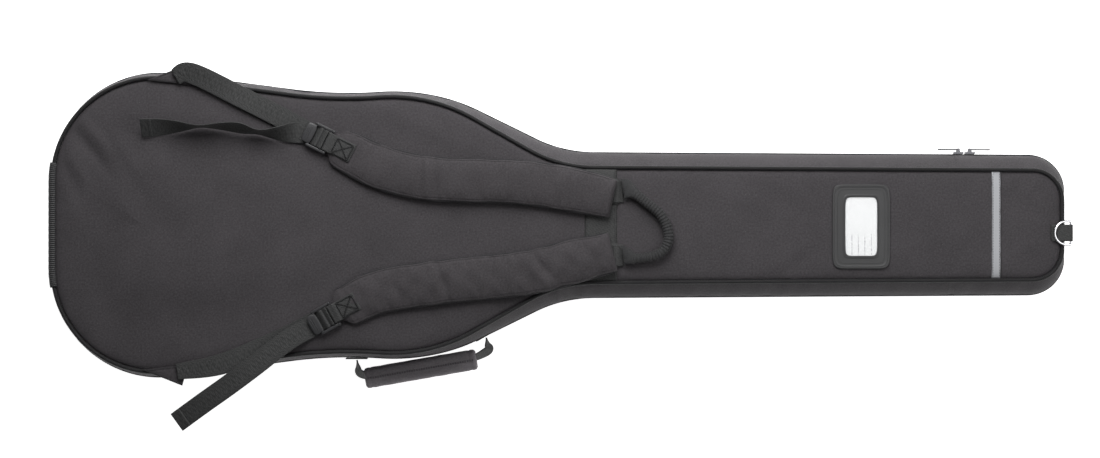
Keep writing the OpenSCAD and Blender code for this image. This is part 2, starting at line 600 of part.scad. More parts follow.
// Main zip sliders and pulls on the +Y side of the neck
function neck_y(x) = neck_w / 2 - (x - neck_x) * tan(neck_taper);
module at_zip(x) translate([x, neck_y(x), zip_z]) rotate([0, 0, -neck_taper])
    translate([0, neck_bulge + coil_h, 0]) children();
slider_a_x = head_x - slider_from_head - slider_l / 2 - 1;
slider_b_x = head_x - slider_from_head + slider_l / 2 + 1;
plate_t = 2.2;
ear_w = 1.1;
eye_w = 4.4;
pin_r = 0.8;
eye_r = 2.1;
pin_up = gap + plate_t + gap + eye_r;
// Slider in its own frame: +Y out of the zip, the pull's pin along Z
module slider(w, skirt) {
    translate([-slider_l / 2, gap, -w / 2]) cube([slider_l, plate_t, w]);
    translate([-slider_l / 2, gap - skirt, -w / 2]) cube([slider_l, skirt, 1.2]);
    for (s = [-1, 1]) hull() {
        translate([-2.4, gap + plate_t - 0.2, s * (eye_w / 2 + gap + ear_w / 2) - ear_w / 2])
            cube([4.8, 0.2, ear_w]);
        translate([0, pin_up, s * (eye_w / 2 + gap + ear_w / 2) - ear_w / 2])
            cylinder(r = pin_r + 0.8, h = ear_w, $fn = 32);
    }
    translate([0, pin_up, 0]) cylinder(r = pin_r, h = eye_w + 2 * gap + 0.2, center = true, $fn = 32);
}
// Pull in the same frame, pointing along -X
module pull(l) {
    difference() {
        union() {
            translate([0, pin_up, 0]) cylinder(r = eye_r, h = eye_w, center = true, $fn = 32);
            translate([-l, pin_up - 0.3, -eye_w / 2]) cube([l, 1.6, eye_w]);
            translate([-l, pin_up - 0.3, 0]) rotate([-90, 0, 0]) cylinder(r = eye_w / 2 + 0.6, h = 1.6, $fn = 48);
        }
        translate([0, pin_up, 0]) cylinder(r = pin_r + pin_gap, h = eye_w + 1, center = true, $fn = 32);
        translate([-l, 0, 0]) rotate([-90, 0, 0]) cylinder(r = 1.2, h = 20, $fn = 32);
    }
}
main_skirt = coil_h - 0.2;
module main_slider_a() color(METAL) at_zip(slider_a_x) slider(slider_w, main_skirt);
module main_slider_b() color(METAL) at_zip(slider_b_x) slider(slider_w, main_skirt);
module main_pull_a() color(BLACK) at_zip(slider_a_x) pull(pull_l);
module main_pull_b() color(BLACK) at_zip(slider_b_x) mirror([1, 0, 0]) pull(pull_l);

// Front pockets: padded panel, fabric band and a zip along the band's +Y side
body_pocket_x = -95;
neck_pocket_x = neck_x + 35;
body_pocket_r = 45;
neck_pocket_r = 22;
pocket_band_t = 1.5;
pocket_tape_t = 0.8;
pocket_coil = 1.2;
pocket_top = panel_z - lay_gap;
function pocket_path(l, w, r) = let (start = [0, w / 2 - r, 90],
        one = concat([start], walk(start, [["arc", r, -90, 6], ["line", l - 2 * r, 1], ["arc", r, -90, 6]])))
    concat(one, mirrored([for (p = one) [p[0], p[1], p[2], 0]]));
module pocket_panel(x, l, w, r) color(CLOTH) translate([x, 0, 0])
    linear_extrude(pocket_panel_t) polygon(outline(pocket_path(l, w, r), 0));
module pocket_band(x, l, w, r) color(CLOTH) translate([x, 0, pocket_panel_t])
    linear_extrude(pocket_top - pocket_panel_t) difference() {
        polygon(outline(pocket_path(l, w, r), 0));
        polygon(outline(pocket_path(l, w, r), -pocket_band_t));
    }
pocket_zip_z = (pocket_top + pocket_panel_t) / 2;
module pocket_zipper(x, l, w, r) color(BLACK) translate([x + r, w / 2, pocket_zip_z]) {
    translate([0, 0, -3]) cube([l - 2 * r, pocket_tape_t, 6]);
    translate([0, pocket_tape_t, -1.6]) cube([l - 2 * r, pocket_coil, 3.2]);
}
pocket_slider_w = 7;
pocket_park = 12;
module at_pocket_zip(x, w, r)
    translate([x + r + pocket_park, w / 2 + pocket_tape_t + pocket_coil, pocket_zip_z]) children();
module body_pocket_panel() pocket_panel(body_pocket_x, body_pocket_l, body_pocket_w, body_pocket_r);
module body_pocket_band() pocket_band(body_pocket_x, body_pocket_l, body_pocket_w, body_pocket_r);
module body_pocket_zipper() pocket_zipper(body_pocket_x, body_pocket_l, body_pocket_w, body_pocket_r);
module body_pocket_slider() color(METAL)
    at_pocket_zip(body_pocket_x, body_pocket_w, body_pocket_r) slider(pocket_slider_w, 1);
module body_pocket_pull() color(BLACK)
    at_pocket_zip(body_pocket_x, body_pocket_w, body_pocket_r) pull(pull_l);
module neck_pocket_panel() pocket_panel(neck_pocket_x, neck_pocket_l, neck_pocket_w, neck_pocket_r);
module neck_pocket_band() pocket_band(neck_pocket_x, neck_pocket_l, neck_pocket_w, neck_pocket_r);
module neck_pocket_zipper() pocket_zipper(neck_pocket_x, neck_pocket_l, neck_pocket_w, neck_pocket_r);
module neck_pocket_slider() color(METAL)
    at_pocket_zip(neck_pocket_x, neck_pocket_w, neck_pocket_r) slider(pocket_slider_w, 1);
module neck_pocket_pull() color(BLACK)
    at_pocket_zip(neck_pocket_x, neck_pocket_w, neck_pocket_r) pull(pull_l);

back_cover();
back_foam();
back_lining();
back_piping();
back_side_cover();
back_body_side_foam();
back_neck_side_foam();
back_zipper();
back_tail_guard();
neck_band();
reflective_strip();
id_frame();
id_window();
id_card();
d_ring_tab();
d_ring();
haul_loop_anchors();
haul_loop();
right_strap_anchor();
right_strap_pad();
right_strap_patch();
right_buckle();
right_webbing();
right_webbing_tail();
left_strap_anchor();
left_strap_pad();
left_strap_patch();
left_buckle();
left_webbing();
left_webbing_tail();
front_cover();
front_foam();
front_lining();
front_piping();
front_side_cover();
front_body_side_foam();
front_neck_side_foam();
front_zipper();
front_tail_guard();
tail_hinge();
neck_cradle();
neck_strap();
handle_anchors();
handle_webbing();
handle_grip();
main_slider_a();
main_pull_a();
main_slider_b();
main_pull_b();
body_pocket_panel();
body_pocket_band();
body_pocket_zipper();
body_pocket_slider();
body_pocket_pull();
neck_pocket_panel();
neck_pocket_band();
neck_pocket_zipper();
neck_pocket_slider();
neck_pocket_pull();
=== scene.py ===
"""Looks of a padded gig bag for an electric bass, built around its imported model.

Lengths are millimetres until a mesh is made, and then metres. +X runs from the tail
to the head of the bag, +Y to the side with the main sliders, +Z out of the back.
"""

import logging
import math
from dataclasses import dataclass, field
from enum import Enum

import bmesh
import bpy
import numpy as np
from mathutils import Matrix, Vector


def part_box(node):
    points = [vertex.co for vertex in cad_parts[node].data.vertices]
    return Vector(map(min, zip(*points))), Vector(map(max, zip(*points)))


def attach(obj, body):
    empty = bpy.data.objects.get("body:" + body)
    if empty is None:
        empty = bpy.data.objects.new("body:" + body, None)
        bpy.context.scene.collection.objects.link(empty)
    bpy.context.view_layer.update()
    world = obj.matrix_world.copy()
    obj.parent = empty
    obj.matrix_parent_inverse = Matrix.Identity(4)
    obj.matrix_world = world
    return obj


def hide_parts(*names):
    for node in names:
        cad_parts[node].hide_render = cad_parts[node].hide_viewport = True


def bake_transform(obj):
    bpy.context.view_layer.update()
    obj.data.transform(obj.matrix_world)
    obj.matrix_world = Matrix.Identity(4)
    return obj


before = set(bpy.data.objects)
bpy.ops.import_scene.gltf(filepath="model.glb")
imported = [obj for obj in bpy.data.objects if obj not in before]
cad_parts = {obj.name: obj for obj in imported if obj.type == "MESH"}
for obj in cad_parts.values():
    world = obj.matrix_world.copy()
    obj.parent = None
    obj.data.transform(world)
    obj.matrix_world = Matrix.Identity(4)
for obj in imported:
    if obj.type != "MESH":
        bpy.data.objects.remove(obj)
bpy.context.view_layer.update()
log = logging.getLogger("gig_bag")
MM = 0.001
MERGE_M = 2e-6
Array = np.ndarray
Point = tuple[float, float, float]
Colour = tuple[float, float, float]


# --------------------------------------------------------------------------- arrays

def unit(v: Array) -> Array:
    """Rows of v divided by their lengths."""
    return v / np.maximum(np.linalg.norm(v, axis=-1, keepdims=True), 1e-9)


def ease(t: Array) -> Array:
    """Smooth step from 0 to 1: 3t squared minus 2t cubed, held outside."""
    c = np.clip(t, 0, 1)
    return c * c * (3 - 2 * c)


def ripple(s: Array, wave: float, seed: int, waves: int = 5) -> Array:
    """Irregular wave of height about 1: a sum of sines whose lengths lie around wave.

    Args:
        s: distance along the piece.
        wave: middle wave length, in the unit of s.
        seed: picks the phases and lengths.
        waves: how many sines are added.
    Returns:
        heights, shaped like s.
    """
    rng = np.random.default_rng(seed)
    lengths = wave * rng.uniform(0.55, 1.9, waves)
    phases = rng.uniform(0, 2 * math.pi, waves)
    total = np.sin(2 * math.pi * s[..., None] / lengths + phases).sum(-1)
    return total / math.sqrt(waves)


def blotch(x: Array, y: Array, wave: float, seed: int) -> Array:
    """Soft uneven height over a plane: sines of random direction added together.

    Args:
        x: places along the first axis.
        y: places along the second one.
        wave: middle wave length, in the unit of x.
        seed: picks directions, lengths and phases.
    Returns:
        heights, one for each place.
    """
    waves = 7
    rng = np.random.default_rng(seed)
    turn = rng.uniform(0, 2 * math.pi, waves)
    length = wave * rng.uniform(0.6, 1.8, waves)
    phase = rng.uniform(0, 2 * math.pi, waves)
    along = x[..., None] * np.cos(turn) + y[..., None] * np.sin(turn)
    return np.sin(2 * math.pi * along / length + phase).sum(-1) / math.sqrt(waves)


def smooth_stops(stops: Array, per_span: int) -> Array:
    """Catmull-Rom curve through every stop, for all columns at once.

    Args:
        stops: one row per stop.
        per_span: points on each span.
    Returns:
        rows at equal steps of the curve's own parameter, ends included.
    """
    p = np.vstack([stops[:1], stops, stops[-1:]])
    k = np.arange(len(stops) - 1)[:, None]
    t = (np.arange(per_span) / per_span)[None, :, None]
    a, b, c, d = (p[k + i] for i in range(4))
    span = 0.5 * (2 * b + (c - a) * t + (2 * a - 5 * b + 4 * c - d) * t**2
                  + (3 * b - a - 3 * c + d) * t**3)
    return np.vstack([span.reshape(-1, stops.shape[1]), stops[-1:]])


def lengths_along(path: Array) -> Array:
    """Distance from the first row to each row of a path."""
    return np.concatenate([[0], np.cumsum(np.linalg.norm(np.diff(path, axis=0), axis=1))])


def resample(path: Array, pitch: float) -> Array:
    """The same path with rows at equal distances of about pitch.

    Args:
        path: rows of x, y, z and any further columns.
        pitch: wanted distance between rows.
    Returns:
        the new rows, with every column carried over.
    """
    s = lengths_along(path[:, :3])
    n = max(2, int(round(s[-1] / pitch)) + 1)
    at = np.linspace(0, s[-1], n)
    return np.stack([np.interp(at, s, path[:, k]) for k in range(path.shape[1])], 1)


def rounded_section(points: int, power: float) -> Array:
    """Unit superellipse: cosine and sine raised to 2 over power, signs kept.

    Args:
        points: how many points.
        power: 2 gives a circle, larger is boxier.
    Returns:
        (points, 2) points, from +X turning to +Y.
    """
    a = 2 * math.pi * np.arange(points) / points
    c, s = np.cos(a), np.sin(a)
    e = 2 / power
    return np.stack([np.sign(c) * np.abs(c) ** e, np.sign(s) * np.abs(s) ** e], 1)


def sweep(path: Array, section: Array, roll: Array | float = 0.0) -> Array:
    """Carries a section along a path.

    The first section axis stays level and square to the path, the second is square
    to both, and roll, in radians, turns the section about the path.

    Args:
        path: rows of x, y, z.
        section: (m, 2) for all rows, or (n, m, 2), one for each row.
        roll: turn of the section.
    Returns:
        (n, m, 3) points.
    """
    t = unit(np.gradient(path, axis=0))
    level = unit(np.cross(np.array([0.0, 0.0, 1.0]), t))
    up = np.cross(t, level)
    c, s = (np.asarray(f(roll)).reshape(-1, 1) for f in (np.cos, np.sin))
    wide = level * c + up * s
    tall = np.cross(t, wide)
    section = np.broadcast_to(section, (len(path),) + section.shape[-2:])
    return path[:, None] + wide[:, None] * section[..., :1] + tall[:, None] * section[..., 1:]


def pillow(centre: Point, half: Point, power: float = 6.0, turn: float = 0.0,
           steps: tuple[int, int] = (28, 15)) -> Array:
    """Rounded box: a superellipse turned about Z, its size shrunk by a second one.

    Args:
        centre: middle of the box.
        half: half sizes along its own x, y and z.
        power: 2 gives an ellipsoid, larger is boxier.
        turn: degrees about Z.
        steps: points round and from pole to pole.
    Returns:
        (steps[1], steps[0], 3) points.
    """
    ring = rounded_section(steps[0], power)
    b = math.pi * (np.arange(steps[1]) / (steps[1] - 1) - 0.5)
    e = 2 / power
    size, tall = np.cos(b).clip(0) ** e, np.sign(np.sin(b)) * np.abs(np.sin(b)) ** e
    p = np.zeros((steps[1], steps[0], 3))
    p[..., 0] = size[:, None] * ring[:, 0] * half[0]
    p[..., 1] = size[:, None] * ring[:, 1] * half[1]
    p[..., 2] = tall[:, None] * half[2]
    return turned(p, turn) + np.array(centre)


def turned(p: Array, degrees: float) -> Array:
    """Points turned about the Z axis.

    Args:
        p: points, with x, y and z last.
        degrees: the turn, from +X to +Y.
    Returns:
        the turned points.
    """
    a = math.radians(degrees)
    c, s = math.cos(a), math.sin(a)
    return p @ np.array([[c, s, 0], [-s, c, 0], [0, 0, 1.0]])


# --------------------------------------------------------------------------- meshes

class Piece:
    """Collects surfaces and makes them one object that rides on a body."""

    def __init__(self, name: str) -> None:
        """Starts an empty piece.

        Args:
            name: name of the object that it becomes.
        """
        self.name = name
        self.points: list[Array] = []
        self.faces: list[list[int]] = []
        self.uvs: list[Array] = []
        self.count = 0

    def _take(self, points: Array, faces: list[list[int]], uv: Array) -> None:
        """Adds points, faces that count from the first of them, and the faces' corners' UVs.

        Args:
            points: (n, 3) points.
            faces: numbers of each face's points.
            uv: one row for each corner of each face.
        """
        self.points.append(points)
        self.faces.extend([[i + self.count for i in f] for f in faces])
        self.uvs.append(uv)
        self.count += len(points)

    def grid(self, p: Array, wrap_u: bool = False, wrap_v: bool = False,
             caps: bool = False, flip: bool = False, uv: Array | None = None) -> "Piece":
        """Adds a sheet through a grid of points, outside where rows cross columns.

        Args:
            p: (n, m, 3) points.
            wrap_u: joins the last row to the first.
            wrap_v: joins the last column to the first.
            caps: closes the ends of a tube whose columns wrap.
            flip: turns the faces over.
            uv: (n, m, 2) cloth coordinates in metres; by default the mean distance
                along the rows and along the columns.
        Returns:
            the piece itself.
        """
        n, m = p.shape[:2]
        if uv is None:
            mid_row, mid_col = p[:, m // 2], p[n // 2]
            u = lengths_along(mid_row if lengths_along(mid_row)[-1] > 0 else p[:, 0])
            v = lengths_along(mid_col)
            uv = np.stack(np.meshgrid(u, v, indexing="ij"), -1) * MM
        i, j = np.meshgrid(np.arange(n - 1 + wrap_u), np.arange(m - 1 + wrap_v), indexing="ij")
        i, j = i.reshape(-1, 1), j.reshape(-1, 1)
        order = [0, 3, 2, 1] if flip else [0, 1, 2, 3]
        ci = (i + np.array([0, 1, 1, 0]))[:, order]
        cj = (j + np.array([0, 0, 1, 1]))[:, order]
        step_u = uv[-1] + (uv[-1] - uv[-2])
        wide = np.concatenate([uv, step_u[None]], 0)
        step_v = wide[:, -1] + (wide[:, -1] - wide[:, -2])
        wide = np.concatenate([wide, step_v[:, None]], 1)
        corner = wide[ci, cj].reshape(-1, 2)
        faces = ((ci % n) * m + cj % m).tolist()
        if caps:
            first, last = list(range(m)), list(range((n - 1) * m, n * m))[::-1]
            faces += [f[::-1] for f in (first, last)] if flip else [first, last]
            corner = np.concatenate([corner, p[0][:, 1:] * MM, p[-1][::-1, 1:] * MM])
        self._take(p.reshape(-1, 3), faces, corner)
        return self

    def beads(self, centre: Array, along: Array, across: Array, out: Array) -> "Piece":
        """Adds one small spindle for each row: a tip, three rings of four, a tip.

        Args:
            centre: middles.
            along: half-length vectors.
            across: half-width vectors.
            out: half-height vectors.
        Returns:
            the piece itself.
        """
        ring = rounded_section(4, 2.0)
        girths = ((-0.7, 0.75), (0.0, 1.0), (0.7, 0.75))
        shape = [(-1.0, 0.0, 0.0)]
        shape += [(a, r * c, r * s) for a, r in girths for c, s in ring]
        shape = np.array(shape + [(1.0, 0.0, 0.0)])
        points = (centre[:, None] + along[:, None] * shape[:, :1]
                  + across[:, None] * shape[:, 1:2] + out[:, None] * shape[:, 2:])
        one = [[0, 1 + (k + 1) % 4, 1 + k] for k in range(4)]
        one += [[1 + 4 * r + k, 1 + 4 * r + (k + 1) % 4, 5 + 4 * r + (k + 1) % 4, 5 + 4 * r + k]
                for r in range(2) for k in range(4)]
        one += [[9 + k, 9 + (k + 1) % 4, 13] for k in range(4)]
        size = len(shape)
        for face in one:
            rows = np.arange(len(centre))[:, None] * size + np.array(face)
            self.faces.extend((rows + self.count).tolist())
            self.uvs.append(np.tile(shape[face][:, :2] * 0.5 * MM, (len(centre), 1)))
        self.points.append(points.reshape(-1, 3))
        self.count += points.shape[0] * size
        return self

    def thread(self, path: Array, pitch: float = 3.4, radius: float = 0.32) -> "Piece":
        """Adds a row of stitches: a spindle on each step of a path, about three quarters filled.

        Args:
            path: points along the seam.
            pitch: distance from stitch to stitch.
            radius: half a stitch's thickness.
        Returns:
            the piece itself.
        """
        half_filled, askew = 0.39, np.array([0.31, 0.17, 0.93])
        p = resample(path, pitch)
        step = np.diff(p, axis=0)
        centre, t = (p[1:] + p[:-1]) / 2, unit(step)
        side = unit(np.cross(t, askew))
        return self.beads(centre, step * half_filled, side * radius, np.cross(t, side) * radius)

    def done(self, finish: "Finish", body: str | tuple, replaces: tuple[str, ...] = (),
             thick: float = 0.0, closed: bool = True, fill: float | None = None,
             slot: str | None = None) -> bpy.types.Object:
        """Makes the object and ties it to the frame.

        Args:
            finish: its material.
            body: the body it rides on; a tuple (body, body, start, end) in metres is not blended, the piece
                is only baked in place.
            replaces: CAD nodes that it stands for.
            thick: wall thickness given inwards to an open sheet.
            closed: the surfaces are closed, so their normals are made to point out.
            fill: how full a padded piece is; not used.
            slot: the record's slot, where it isn't the finish's own; not used.
        Returns:
            the finished object.
        """
        mesh = bpy.data.meshes.new(self.name)
        mesh.from_pydata((np.concatenate(self.points) * MM).tolist(), [], self.faces)
        layer = mesh.uv_layers.new(name="cloth")
        layer.data.foreach_set("uv", np.concatenate(self.uvs).astype(np.float32).ravel())
        shell = bmesh.new()
        shell.from_mesh(mesh)
        bmesh.ops.remove_doubles(shell, verts=shell.verts, dist=MERGE_M)
        if closed:
            bmesh.ops.recalc_face_normals(shell, faces=shell.faces)
        shell.to_mesh(mesh)
        shell.free()
        mesh.polygons.foreach_set("use_smooth", np.ones(len(mesh.polygons), bool))
        mesh.materials.append(finish.material())
        piece = bpy.data.objects.new(self.name, mesh)
        bpy.context.scene.collection.objects.link(piece)
        if thick:
            wall = piece.modifiers.new("wall", "SOLIDIFY")
            wall.thickness, wall.offset = thick * MM, -1.0
        if isinstance(body, str):
            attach(piece, body)
        else:
            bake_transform(piece)
        if replaces:
            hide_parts(*replaces)
        log.info("%s: %d faces", self.name, len(mesh.polygons))
        return piece


# ------------------------------------------------------------------------- finishes

LINT_COLOUR = (0.34, 0.33, 0.33)
INK_COLOUR = (0.22, 0.22, 0.23)
CARD_L_M, CARD_W_M = 0.054, 0.086


class Space(Enum):
    """Where a finish reads its pattern from."""

    CLOTH = "UV"
    OBJECT = "Object"


class Nodes:
    """Short way to build a node tree."""

    def __init__(self, tree: bpy.types.NodeTree) -> None:
        """Works on one tree."""
        self.tree = tree

    def add(self, kind: str, **values: object) -> bpy.types.Node:
        """Adds a node; names with an underscore set properties, others sockets by name.

        Args:
            kind: the node's type.
            values: p_NAME is a property, iNUMBER an input by place, any other an input by name.
        Returns:
            the new node.
        """
        node = self.tree.nodes.new(kind)
        for key, value in values.items():
            if key.startswith("p_"):
                setattr(node, key[2:], value)
            else:
                place = int(key[1:]) if key[1:].isdigit() else key.replace("_", " ")
                self.join(value, node.inputs[place])
        return node

    def join(self, value: object, socket: bpy.types.NodeSocket) -> None:
        """Links a socket or sets a value.

        Args:
            value: an output socket, or a plain value.
            socket: the input that takes it.
        """
        if isinstance(value, bpy.types.NodeSocket):
            self.tree.links.new(value, socket)
        else:
            socket.default_value = value

    def math(self, kind: str, a: object, b: object = 0.0, c: object = 0.0) -> bpy.types.NodeSocket:
        """A Math node's result."""
        return self.add("ShaderNodeMath", p_operation=kind, i0=a, i1=b, i2=c).outputs[0]


def shader_group(name: str, inputs: dict[str, tuple[str, float | None]],
                 outputs: tuple[str, ...]) -> tuple[bpy.types.NodeTree, Nodes, dict, bpy.types.Node]:
    """Starts a node group with named sockets.

    Args:
        name: the group's name.
        inputs: type and default value of each input, by name.
        outputs: names of the outputs, which are all floats.
    Returns:
        the group, its node builder, its input sockets by name and its output node.
    """
    tree = bpy.data.node_groups.new(name, "ShaderNodeTree")
    for key, (kind, value) in inputs.items():
        socket = tree.interface.new_socket(name=key, in_out="INPUT", socket_type=kind)
        if value is not None:
            socket.default_value = value
    for key in outputs:
        tree.interface.new_socket(name=key, in_out="OUTPUT", socket_type="NodeSocketFloat")
    nodes = Nodes(tree)
    start, end = nodes.add("NodeGroupInput"), nodes.add("NodeGroupOutput")
    return tree, nodes, {s.name: s for s in start.outputs if s.name}, end


def weave_group() -> bpy.types.NodeTree:
    """Yarns crossing over and under.

    Each warp yarn is the size of the sine across it, raised where a sine along it is
    high, and that sine moves on by Shift half turns from yarn to yarn. The weft is the
    same with the axes swapped, and the height is the larger of the two.

    Returns:
        the group, made once.
    """
    if "weave" in bpy.data.node_groups:
        return bpy.data.node_groups["weave"]
    tree, n, given, end = shader_group("weave", {
        "Vector": ("NodeSocketVector", None), "Pitch": ("NodeSocketFloat", 0.001),
        "Stretch": ("NodeSocketFloat", 1.0), "Shift": ("NodeSocketFloat", 1.0)}, ("Height",))
    split = n.add("ShaderNodeSeparateXYZ", i0=given["Vector"])
    u = n.math("DIVIDE", split.outputs[0], n.math("MULTIPLY", given["Pitch"], given["Stretch"]))
    v = n.math("DIVIDE", split.outputs[1], given["Pitch"])

    def yarn(a: bpy.types.NodeSocket, b: bpy.types.NodeSocket, start: float) -> bpy.types.NodeSocket:
        """Height of one set of yarns.

        Args:
            a: place across the yarns, one unit to a yarn.
            b: place along them.
            start: half turns that the first yarn's rise is moved by.
        Returns:
            the height, 0 to 1.
        """
        ridge = n.math("ABSOLUTE", n.math("SINE", n.math("MULTIPLY", a, math.pi)))
        moved = n.math("MULTIPLY_ADD", n.math("FLOOR", a), given["Shift"], n.math("ADD", b, start))
        lift = n.math("MULTIPLY_ADD", n.math("SINE", n.math("MULTIPLY", moved, math.pi)), 0.5, 0.5)
        return n.math("MULTIPLY", ridge, lift)

    n.join(n.math("MAXIMUM", yarn(u, v, 0.0), yarn(v, u, 1.0)), end.inputs["Height"])
    return tree


def cloud_group() -> bpy.types.NodeTree:
    """Soft uneven patches, and sparse specks of lint.

    Returns:
        the group, made once.
    """
    if "cloud" in bpy.data.node_groups:
        return bpy.data.node_groups["cloud"]
    tree, n, given, end = shader_group("cloud", {
        "Vector": ("NodeSocketVector", None), "Patch Scale": ("NodeSocketFloat", 18.0),
        "Speck Scale": ("NodeSocketFloat", 620.0)}, ("Patch", "Grain", "Speck"))
    rare_above, speck_r = 0.985, 0.22
    patch = n.add("ShaderNodeTexNoise", Vector=given["Vector"], Scale=given["Patch Scale"],
                  Detail=4.0, Roughness=0.55)
    grain = n.add("ShaderNodeTexNoise", Vector=given["Vector"], Scale=430.0, Detail=3.0, Roughness=0.65)
    cells = n.add("ShaderNodeTexVoronoi", Vector=given["Vector"], Scale=given["Speck Scale"])
    tone = n.add("ShaderNodeSeparateColor", i0=cells.outputs["Color"])
    rare = n.math("GREATER_THAN", tone.outputs[0], rare_above)
    near = n.math("LESS_THAN", cells.outputs["Distance"], speck_r)
    n.join(patch.outputs[0], end.inputs["Patch"])
    n.join(grain.outputs[0], end.inputs["Grain"])
    n.join(n.math("MULTIPLY", rare, near), end.inputs["Speck"])
    return tree


@dataclass(frozen=True)
class Finish:
    """A material: a colour broken up by patches and grain, over a bump."""

    name: str
    slot: str
    colour: Colour
    roughness: float = 0.7
    uneven: float = 0.22
    space: Space = Space.CLOTH

    def material(self) -> bpy.types.Material:
        """The Blender material, made once.

        Returns:
            the material.
        """
        if self.name in bpy.data.materials:
            return bpy.data.materials[self.name]
        made = bpy.data.materials.new(self.name)
        made.use_nodes = True
        made.node_tree.nodes.clear()
        n = Nodes(made.node_tree)
        place = n.add("ShaderNodeTexCoord").outputs[self.space.value]
        cloud = n.add("ShaderNodeGroup", p_node_tree=cloud_group(), Vector=place)
        shader = n.add("ShaderNodeBsdfPrincipled")
        out = n.add("ShaderNodeOutputMaterial")
        n.join(shader.outputs[0], out.inputs[0])
        shader.inputs["Base Color"].default_value = (*self.colour, 1.0)
        shader.inputs["Roughness"].default_value = self.roughness
        self.dress(n, place, cloud, shader)
        return made

    def tint(self, n: Nodes, shader: bpy.types.Node, amount: bpy.types.NodeSocket,
             dark: float, light: float) -> bpy.types.NodeSocket:
        """Colour between two shades of the finish, by amount.

        Args:
            n: the material's node builder.
            shader: the Principled node.
            amount: 0 for the darker shade, 1 for the lighter one.
            dark: the darker shade's share of the colour.
            light: the lighter shade's share of the colour.
        Returns:
            the mixed colour's socket.
        """
        low = tuple(c * dark for c in self.colour) + (1.0,)
        high = tuple(min(1.0, c * light) for c in self.colour) + (1.0,)
        mix = n.add("ShaderNodeMix", p_data_type="RGBA", i0=amount, i6=low, i7=high)
        n.join(mix.outputs[2], shader.inputs["Base Color"])
        return mix.outputs[2]

    def bump(self, n: Nodes, shader: bpy.types.Node, height: bpy.types.NodeSocket,
             depth_mm: float, strength: float = 1.0) -> None:
        """Feeds a height, 0 to 1 over depth_mm, to the shader's normal."""
        node = n.add("ShaderNodeBump", Height=height, Strength=strength, Distance=depth_mm * MM)
        n.join(node.outputs[0], shader.inputs["Normal"])

    def dress(self, n: Nodes, place: bpy.types.NodeSocket, cloud: bpy.types.Node,
              shader: bpy.types.Node) -> None:
        """Plain moulded surface: patches in the colour, grain in gloss and relief.

        Args:
            n: the material's node builder.
            place: the pattern's coordinates.
            cloud: the patches' group node.
            shader: the Principled node.
        """
        self.tint(n, shader, cloud.outputs["Patch"], 1 - self.uneven, 1 + self.uneven)
        rough = n.math("MULTIPLY_ADD", cloud.outputs["Grain"], 0.25, self.roughness - 0.12)
        n.join(rough, shader.inputs["Roughness"])
        self.bump(n, shader, cloud.outputs["Grain"], 0.06, 0.6)


@dataclass(frozen=True)
class Woven(Finish):
    """Cloth or webbing: yarns, patches of wear, and lint."""

    pitch: float = 0.7
    stretch: float = 1.0
    shift: float = 1.0
    relief: float = 0.16
    lint: float = 0.16
    sheen: float = 0.06

    def dress(self, n: Nodes, place: bpy.types.NodeSocket, cloud: bpy.types.Node,
              shader: bpy.types.Node) -> None:
        """Yarn height darkens the colour in the valleys between yarns as a painted shade, and makes the
        bump; wear patches tint it too, and lint lies on top.

        Args:
            n: the material's node builder.
            place: the pattern's coordinates.
            cloud: the patches' group node.
            shader: the Principled node.
        """
        weave = n.add("ShaderNodeGroup", p_node_tree=weave_group(), Vector=place,
                      Pitch=self.pitch * MM, Stretch=self.stretch, Shift=self.shift)
        height = weave.outputs["Height"]
        patches = n.math("MULTIPLY", cloud.outputs["Patch"], 0.3)
        worn = n.math("MULTIPLY_ADD", cloud.outputs["Grain"], 0.7, patches)
        # Painted shade: low yarn heights darken the colour like shade in the weave's valleys, while worn
        # adds the cloth's own uneven wear tone.
        shade = n.math("MULTIPLY_ADD", height, 0.4, n.math("MULTIPLY_ADD", worn, 1.6, -0.6))
        base = self.tint(n, shader, shade, 1 - 1.6 * self.uneven, 1 + 1.3 * self.uneven)
        speck = n.math("MULTIPLY", cloud.outputs["Speck"], self.lint)
        lint = n.add("ShaderNodeMix", p_data_type="RGBA", i0=speck, i6=base, i7=(*LINT_COLOUR, 1.0))
        n.join(lint.outputs[2], shader.inputs["Base Color"])
        rough = n.math("MULTIPLY_ADD", cloud.outputs["Patch"], 0.16, self.roughness - 0.08)
        n.join(rough, shader.inputs["Roughness"])
        shader.inputs["Specular IOR Level"].default_value = 0.2
        shader.inputs["Sheen Weight"].default_value = self.sheen
        shader.inputs["Sheen Roughness"].default_value = 0.45
        fuzz = n.math("MULTIPLY_ADD", cloud.outputs["Grain"], 0.25, height)
        self.bump(n, shader, fuzz, self.relief)


@dataclass(frozen=True)
class Plated(Finish):
    """Bright metal with a faint unevenness."""

    def dress(self, n: Nodes, place: bpy.types.NodeSocket, cloud: bpy.types.Node,
              shader: bpy.types.Node) -> None:
        """Full metal, with grain in its gloss.

        Args:
            n: the material's node builder.
            place: the pattern's coordinates.
            cloud: the patches' group node.
            shader: the Principled node.
        """
        shader.inputs["Metallic"].default_value = 1.0
        rough = n.math("MULTIPLY_ADD", cloud.outputs["Patch"], 0.16, self.roughness)
        n.join(rough, shader.inputs["Roughness"])
        self.tint(n, shader, cloud.outputs["Patch"], 0.88, 1.05)
        self.bump(n, shader, cloud.outputs["Patch"], 0.03, 0.5)


